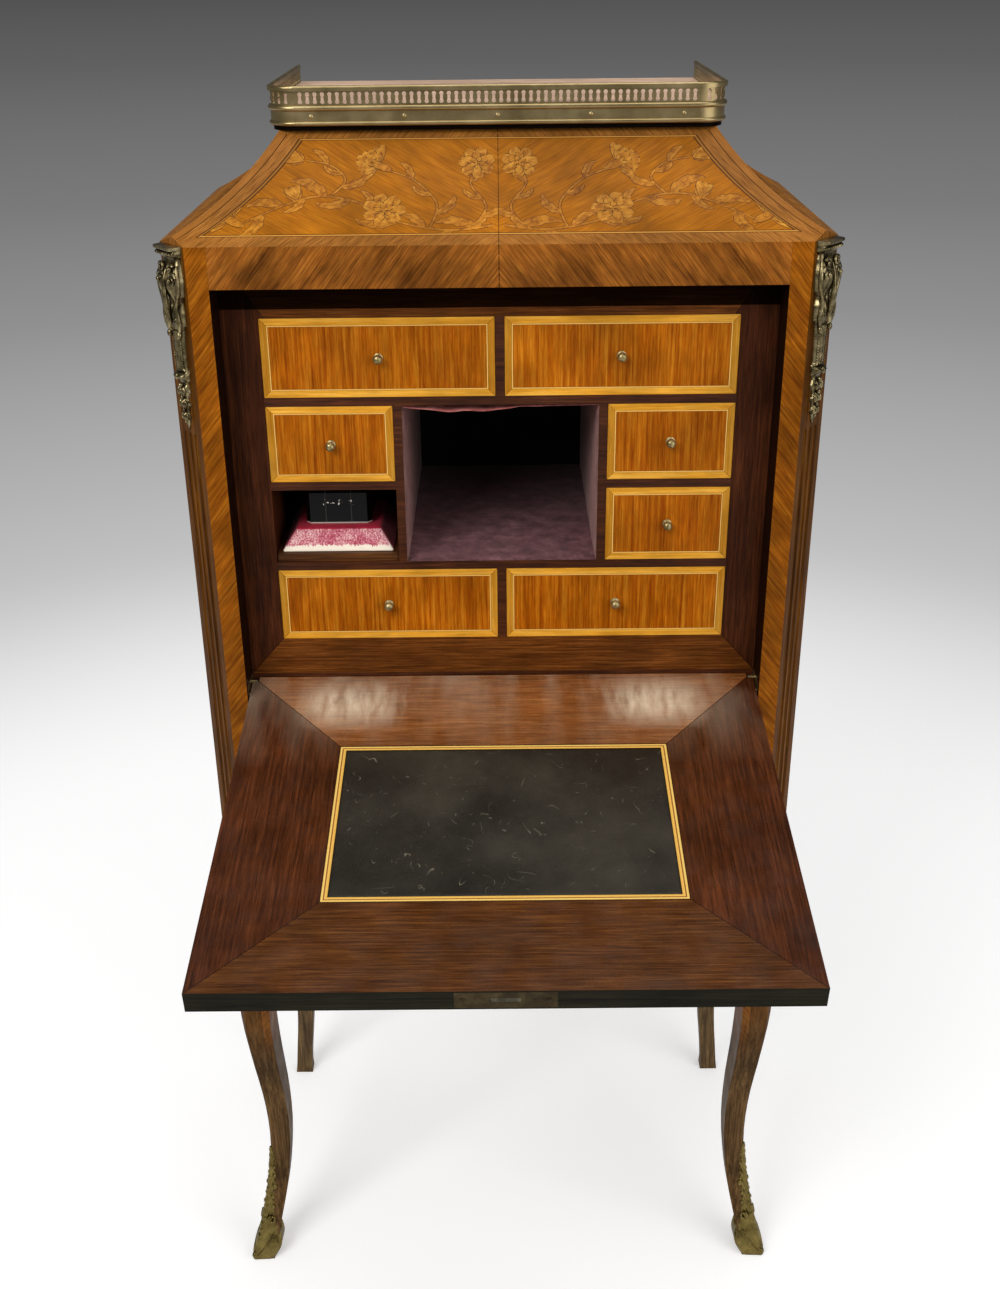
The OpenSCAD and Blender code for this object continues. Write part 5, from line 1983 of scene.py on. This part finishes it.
    def bud(self, at: complex, heading: float, reach: float) -> None:
        """Lays a closed bud in two narrow leaves.

        Args:
            at: where it sits.
            heading: which way it points.
            reach: how long it is.
        """
        for lean in (-0.34, 0.0, 0.34):
            self.petal(at, heading + lean, 0, reach * self.size, reach * self.size * 0.24, 0.08)
        for lean in (-0.75, 0.75):
            self.leaf(at, heading + lean, reach * 0.8, reach * 0.14, -lean, 2)

    def spray(self, line: Line, start: int, every: int, long: float) -> None:
        """Lays leaves in turn on both sides of a stalk.

        Args:
            line: the stalk's middle line.
            start: the first point with a leaf.
            every: how many points lie between two leaves.
            long: the leaves' length.
        """
        for k, i in enumerate(range(start, len(line) - 2, every)):
            heading, hand = cmath.phase(line[i + 1] - line[i - 1]), (-1) ** k
            grown = long * (0.82 + 0.18 * math.cos(2.2 * k))
            self.leaf(line[i], heading + hand * 0.8, grown, grown * 0.15, -hand * 1.1, 3 + k % 2)

    def draw(self) -> None:
        """Draws one half: a low waving stem, three shoots, and what blooms on them."""

        def at(share: float, up: float) -> complex:
            """Gives a point from its share of the half slope's width at the eave."""
            return complex(share * (self.spread - self.rim), up)

        waves = ((0.02, 27), (0.15, 21), (0.31, 31), (0.45, 56), (0.59, 64), (0.71, 52), (0.82, 33))
        main = flowing([at(*wave) for wave in waves], 9)
        shoots = [
            flowing([at(0.09, 23), at(0.04, 50), at(0.09, 76), at(0.075, 92)], 8),
            flowing([at(0.22, 25), at(0.2, 54), at(0.27, 80), at(0.36, 92)], 8),
            flowing([at(0.55, 63), at(0.5, 82), at(0.55, 98), at(0.63, 103)], 8),
        ]
        self.stem(main, 1.4, 0.8)
        for shoot in shoots:
            self.stem(shoot, 1.0, 0.6)
        self.spray(main, 4, 5, 40)
        for shoot in shoots:
            self.spray(shoot, 5, 6, 29)
        self.carnation(at(0.865, 36), 0.6, 24)
        self.rose(at(0.37, 47), 19, 0.4)
        self.rose(at(0.07, 99), 16, 1.0)
        self.carnation(at(0.39, 97), 0.45, 20)
        self.bud(at(0.64, 103), 0.35, 17)
        self.bud(at(0.655, 60), 1.2, 17)
        self.leaf(at(0.1, 23), 2.6, 26, 3.8, -0.9)

    def build(self, name: str) -> dict[Tone, Piece]:
        """Builds one piece of the panel's marquetry for each wood.

        Args:
            name: what the pieces are called.

        Returns:
            The pieces.
        """
        self.draw()
        pieces = {}
        grid = partial(bpy.ops.mesh.primitive_grid_add, x_subdivisions=1, y_subdivisions=self.steps, size=1)
        for tone, ribbons in self.ribbons.items():
            piece = added(f"{name}_{tone.value[0]}", grid)
            changed(piece, "ARRAY", count=len(ribbons), relative_offset_displace=(2, 0, 0))
            for vertex in piece.data.vertices:
                which, row = round(vertex.co.x / 2), round((vertex.co.y + 0.5) * self.steps)
                vertex.co = ribbons[which][row][int(vertex.co.x > 2 * which)]
            pieces[tone] = piece
        return pieces


@dataclass(frozen=True)
class Paper(Finish):
    """The studio's floor: pale near the piece, and darker with distance, from 1 m to 100 m."""

    near: float = 1.25

    def draw(self, graph: Graph) -> None:
        """Draws the floor.

        Args:
            graph: the tree.
        """
        add = graph.add
        away = add(LENGTH, graph.point).outputs["Value"]
        fade = add(
            RAMP,
            add(TIMES, add(LOG, away, 10.0), 0.5),
            stops=[
                (0.0, "#f2f2f2"), (0.09, "#dcdcdc"), (0.24, "#b4b4b4"), (0.36, "#909090"),
                (0.46, "#7a7a7a"), (0.65, "#606060"), (0.85, "#505050"), (1.0, "#484848"),
            ],
        )
        lift = add(TIMES, add(RAYS).outputs["Is Camera Ray"], 0.33)
        paper = add(SURFACE, "#ededed", Roughness=0.9, Emission_Color="#ffffff", Emission_Strength=lift)
        plain = add(BLEND, graph.seen(), add(GLOW, "#8c8c8c", 0.6), add(GLOW, fade, 1.0))
        add(OUTPUT, add(BLEND, add(EASE, away, self.near, self.near + 1.3, 0.0, 1.0), paper, plain))


@dataclass(frozen=True)
class Studio:
    """A wide pale floor that fades into grey far away, and three soft lights."""

    radius: float = 90.0
    ambient: tuple[float, float, float, float] = (0.42, 0.42, 0.42, 1.0)
    # The camera's place, its film and lens, how far the picture is shifted, and how far it sees
    eye: tuple[float, float, float] = (-0.0002, -1.2821, 1.4356)
    film_mm: float = 36
    lens_mm: float = 41.39
    shift: float = 0.0208
    sight: float = 400.0
    # Its turns in radians: a little to the left, down at the piece, and a slight roll
    yaw: float = 0.00192
    pitch: float = 0.46037
    roll: float = -0.01012

    def floor(self) -> Piece:
        """Builds the floor disc.

        Returns:
            The disc.
        """
        circle = bpy.ops.mesh.primitive_circle_add
        disc = added("studio_floor", circle, vertices=96, radius=self.radius, fill_type="NGON")
        dress(disc, Paper("studio_paper").material)
        return disc

    def world(self) -> None:
        """Gives the world a dark grey for the camera and a soft light for the rest."""
        bpy.context.scene.world = bpy.data.worlds.new("studio_world")
        graph = Graph(bpy.context.scene.world)
        graph.add(SKY_OUTPUT, graph.add(SKY, graph.add(LAY, graph.seen(), self.ambient, "#4c4c4c")))

    def light(self, name: str, place: Vector, aim: Vector, size: float, watts: float) -> Piece:
        """Adds a square soft light.

        Args:
            name: the light's name.
            place: where it stands.
            aim: what it points at.
            size: its side in metres.
            watts: its power.

        Returns:
            The light.
        """
        turn = (aim - place).to_track_quat("-Z", "Y").to_euler()
        lamp = added(name, bpy.ops.object.light_add, type="AREA", location=place, rotation=turn)
        lamp.data.size, lamp.data.energy = size, watts
        return lamp

    def camera(self) -> None:
        """Adds the camera, above the let down fall and looking down into the nest."""
        level = Vector((-math.sin(self.yaw), math.cos(self.yaw), 0)) * math.cos(self.pitch)
        forward = level - Vector((0, 0, math.sin(self.pitch)))
        right = Vector((math.cos(self.yaw), math.sin(self.yaw), 0))
        up = right.cross(forward)
        cos, sin = math.cos(self.roll), math.sin(self.roll)
        basis = Matrix((right * cos + up * sin, up * cos - right * sin, -forward)).transposed()
        camera = added("camera", bpy.ops.object.camera_add, location=self.eye, rotation=basis.to_euler())
        camera.data.sensor_width, camera.data.lens = self.film_mm, self.lens_mm
        camera.data.shift_y, camera.data.clip_end = self.shift, self.sight
        bpy.context.scene.camera = camera

    def build(self) -> None:
        """Sets the floor, the world, the lights and the camera."""
        aim = Vector((0, 0.05, 0.9))
        pieces = [
            self.floor(),
            self.light("key", Vector((-1.6, -2.2, 2.9)), aim, 1.6, 62),
            self.light("fill", Vector((2.3, -2.0, 1.8)), aim, 2.4, 36),
            self.light("top", Vector((0.2, -0.2, 3.3)), Vector((0, 0, 1.0)), 1.8, 26),
        ]
        self.world()
        self.camera()
        bpy.context.scene.view_settings.view_transform = "Standard"


def finishes(nodes: dict[str, Piece], case: Case, fall: Fall) -> dict[str, Finish]:
    """Chooses a finish for each node of the frame.

    Args:
        nodes: the frame's nodes.
        case: the case's planes.
        fall: where the fall hangs.

    Returns:
        A finish for each node's name.
    """
    inner_low, inner_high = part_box("inner_frame")
    member = inner_high.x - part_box("nest_dividers")[1].x
    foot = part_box("drawer_foot_left")[0].z - inner_low.z
    # Painted shade: how far back the floor velvet is drawn darker
    unlit = (inner_low.y + 70 * MM, inner_low.y + 290 * MM)
    mauve = ("#45262a", "#6c4348", "#906468", "#c8a0a2", 0.42, unlit)
    # The ink stand's velvet: its deep tone is the painted shade of the flanks, its pale tone the painted
    # light of the front
    crimson = ("#6c0a20", "#a8324a", "#eec6c0", "#f0c9c6", 0.1, None)
    table = [
        (PostFinish("post_veneer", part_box("fall_board")[1].x + 20.5 * MM, 19 * MM, case.base),
         "post_front_left post_front_right"),
        (PlainWood("back_leg_wood", BACK_LEG_WOOD, Grain.UPRIGHT, (0.34, 0.5)),
         "leg_back_left leg_back_right"),
        (SidePanel("side_veneer", *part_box("side_right"), case.sill), "side_left side_right"),
        (PlainWood("oak_boards", OAK, Grain.ACROSS, (0.5, 0.7), 0.1),
         "back_panel bottom_board dust_board case_top drawer_guides"),
        (MatchedVeneer("frieze_veneer", FRIEZE_WOOD, Grain.FALLING), "frieze_rail"),
        (MatchedVeneer("rail_veneer", KINGWOOD, Grain.FALLING), "lower_rail"),
        (MatchedVeneer("apron_veneer", KINGWOOD, Grain.ACROSS), "apron"),
        (CoveVeneer("cove_front_veneer", CoveSlope(case, 0)), "cove_front"),
        (CoveVeneer("cove_side_veneer", CoveSlope(case, -1)), "cove_left cove_right"),
        (TopVeneer("top_veneer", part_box("top_board")[1]), "top_board"),
        (MitredFrame("inner_frame_rosewood", inner_low, inner_high, member, foot), "inner_frame"),
        (PlainWood("rosewood_boards", ROSEWOOD, Grain.ACROSS), "nest_boards nest_dividers"),
        (Velvet("mauve_velvet", *mauve), "velvet_lining"),
        (PlainWood("ebonised_edge", EBONISED, Grain.ACROSS, (0.3, 0.5), 0.06), "fall_board"),
        (FallBorder("fall_rosewood", fall), "fall_border"),
        (FallFace("fall_face_veneer", fall), "fall_face"),
        (Skiver("writing_leather"), "fall_leather"),
        (Stringing("boxwood_string", fall), "fall_stringing"),
        (PlainWood("tray_rosewood", WARM_ROSEWOOD, Grain.ACROSS), "ink_tray"),
        (LitShadedPile("crimson_velvet", *crimson, *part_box("ink_plinth")), "ink_plinth"),
        (CutGlass("lead_glass", *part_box("inkwell")), "inkwell"),
        (Metal("gilt_bronze_cast", "#322a1a", "#807250", "#c0b084", (0.2, 0.36), 12.0, 3.0),
         "corner_mounts escutcheon"),
        (Metal("gilt_bronze_feet", "#5a4a22", "#80703e", "#a59252", (0.24, 0.38), 16.0, 1.4, 0.16), "sabots"),
        (Metal("brass_rolled", "#8c7a50", "#a89468", "#c2ae82", (0.3, 0.36), 30.0, 1.2, 0.2),
         "gallery_band gallery_fret gallery_rail gallery_screws pivot_plates strike_plate fall_pivots"
         " long_drawer_knobs"),
        (Metal("lock_brass", "#221a0e", "#3c311d", "#5a4c31", (0.3, 0.5), 18.0, 1.0), "lock_body"),
        (Metal("steel_aged", "#2b2820", "#4a4536", "#6c6450", (0.3, 0.46), 9.0, 1.0), "lock_bolt"),
        (Metal("knob_brass", "#8a7a4c", "#b4a270", "#d6c898", (0.34, 0.48), 6.0, 0.6),
         " ".join(name for name in nodes if name.startswith("knob_"))),
        (BandedFront("long_drawer_front", *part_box("long_drawer"), KINGWOOD, 14.0, 1.4), "long_drawer"),
    ]
    chosen = {name: finish for finish, names in table for name in names.split()}
    for name in nodes:
        if name.startswith("drawer_") and name not in chosen:
            chosen[name] = BandedFront(f"{name}_front", *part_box(name), TULIPWOOD)
    return chosen


def attach(piece: Piece, body: str, slot: str, finish: Finish, *replaced: str) -> None:
    """Puts a finished piece on its body.

    Args:
        piece: the piece.
        body: the body that it rides on.
        slot: the record's slot for its finish; not used.
        finish: its finish.
        replaced: the frame's nodes that it stands for.
    """
    dress(piece, finish.material)
    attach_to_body(piece, body)
    if replaced:
        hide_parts(*replaced)
    log.info("%s: %d faces, rides on %s", piece.name, len(piece.data.polygons), body)


def line_nest(mauve: Finish) -> None:
    """Lines the open middle of the nest with cloth.

    Args:
        mauve: the velvet of the floor.
    """
    low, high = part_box("velvet_lining")
    nest, size = VelvetNest(low, high), high - low
    # The last range of each is where the cloth is drawn darker towards the back: painted shade
    red = ("#94302c", "#e0716a", "#f0a498", "#f4b8ac", 0.4, (low.y + 10 * MM, low.y + 50 * MM))
    pale = ("#6a4440", "#92645e", "#b08680", "#d8b4ae", 0.5, (low.y + 60 * MM, low.y + 230 * MM))
    crimson, worn = Velvet("crimson_ceiling", *red), Velvet("worn_mauve_velvet", *pale)
    # Painted shade: the back cloth is drawn near black, standing in for the shade at the back of the nest
    dark = Velvet("velvet_unlit", "#040203", "#080506", "#0e090a", "#1c1416", 0.1)
    forms = (
        ("left", 60, 40, partial(nest.wall, -1)), ("right", 60, 40, partial(nest.wall, 1)),
        ("rear", 40, 40, nest.rear), ("floor", 60, 90, nest.floor), ("ceiling", 70, 70, nest.ceiling),
    )
    cloths = {name: shaded(sheet_form(f"velvet_{name}", *form), 80) for name, *form in forms}
    side = ((size.y, size.z), "stretched", worn, "mauve_velvet")
    loose = (size.x * 1.02, size.y * 1.01)
    for name, flat, held, finish, slot in (
        ("floor", (size.x, size.y), "laid", mauve, "mauve_velvet"),
        ("left", *side),
        ("right", *side),
        ("rear", (size.x, size.z), "stretched", dark, "mauve_velvet"),
        ("ceiling", loose, "stretched", crimson, "crimson_velvet"),
    ):
        attach(cloths[name], "carcase", slot, finish, "velvet_lining")


def lay_marquetry(case: Case) -> None:
    """Lays the sprays in the cove's front and sides.

    Args:
        case: the case's planes.
    """
    woods = {tone: PlainWood(*tone.value, Grain.RISING, (0.34, 0.5), 0.1) for tone in Tone}
    deep = (case.back - case.front) / 2
    places = (("front", 0, case.half, 1.0), ("left", -1, deep, 0.68), ("right", 1, deep, 0.68))
    for name, side, half, size in places:
        sprays = Marquetry(CoveSlope(case, side), half / MM, size).build(f"marquetry_cove_{name}")
        for tone, piece in sprays.items():
            attach(piece, "carcase", "kingwood", woods[tone])


def main() -> None:
    """Loads the frame, dresses it, and sets the studio."""
    logging.basicConfig(level=logging.INFO)
    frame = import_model()
    case = Case.read()
    fall = Fall.read(frame)
    log.info("fall: let down by %.1f degrees", math.degrees(fall.angle))

    chosen = finishes(fall.nodes, case, fall)
    for name, node in frame["nodes"].items():
        dress(node, chosen[name].material)
    log.info("frame: %d nodes dressed", len(chosen))

    attach(CornerMount(case).build(), "carcase", "gilt_bronze", chosen["corner_mounts"], "corner_mounts")
    sabots = Sabot(LegRings.read(fall.nodes["post_front_right"])).build()
    attach(sabots, "carcase", "gilt_bronze", chosen["sabots"], "sabots")
    attach(LockScrews(fall).build(), "fall", "brass", chosen["lock_body"])
    line_nest(chosen["velvet_lining"])
    plinth = Plinth(*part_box("ink_plinth")).build()
    attach(plinth, "ink_stand", "crimson_velvet", chosen["ink_plinth"], "ink_plinth")
    well = InkWell(*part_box("inkwell")).build()
    attach(well, "ink_stand", "cut_glass", chosen["inkwell"], "inkwell")
    leather = WritingLeather(fall)
    skin = leather.build()
    attach(skin, "fall", "black_leather", chosen["fall_leather"], "fall_leather")
    leather.flat()
    lay_marquetry(case)

    Studio().build()


if __name__ == "__main__":
    main()
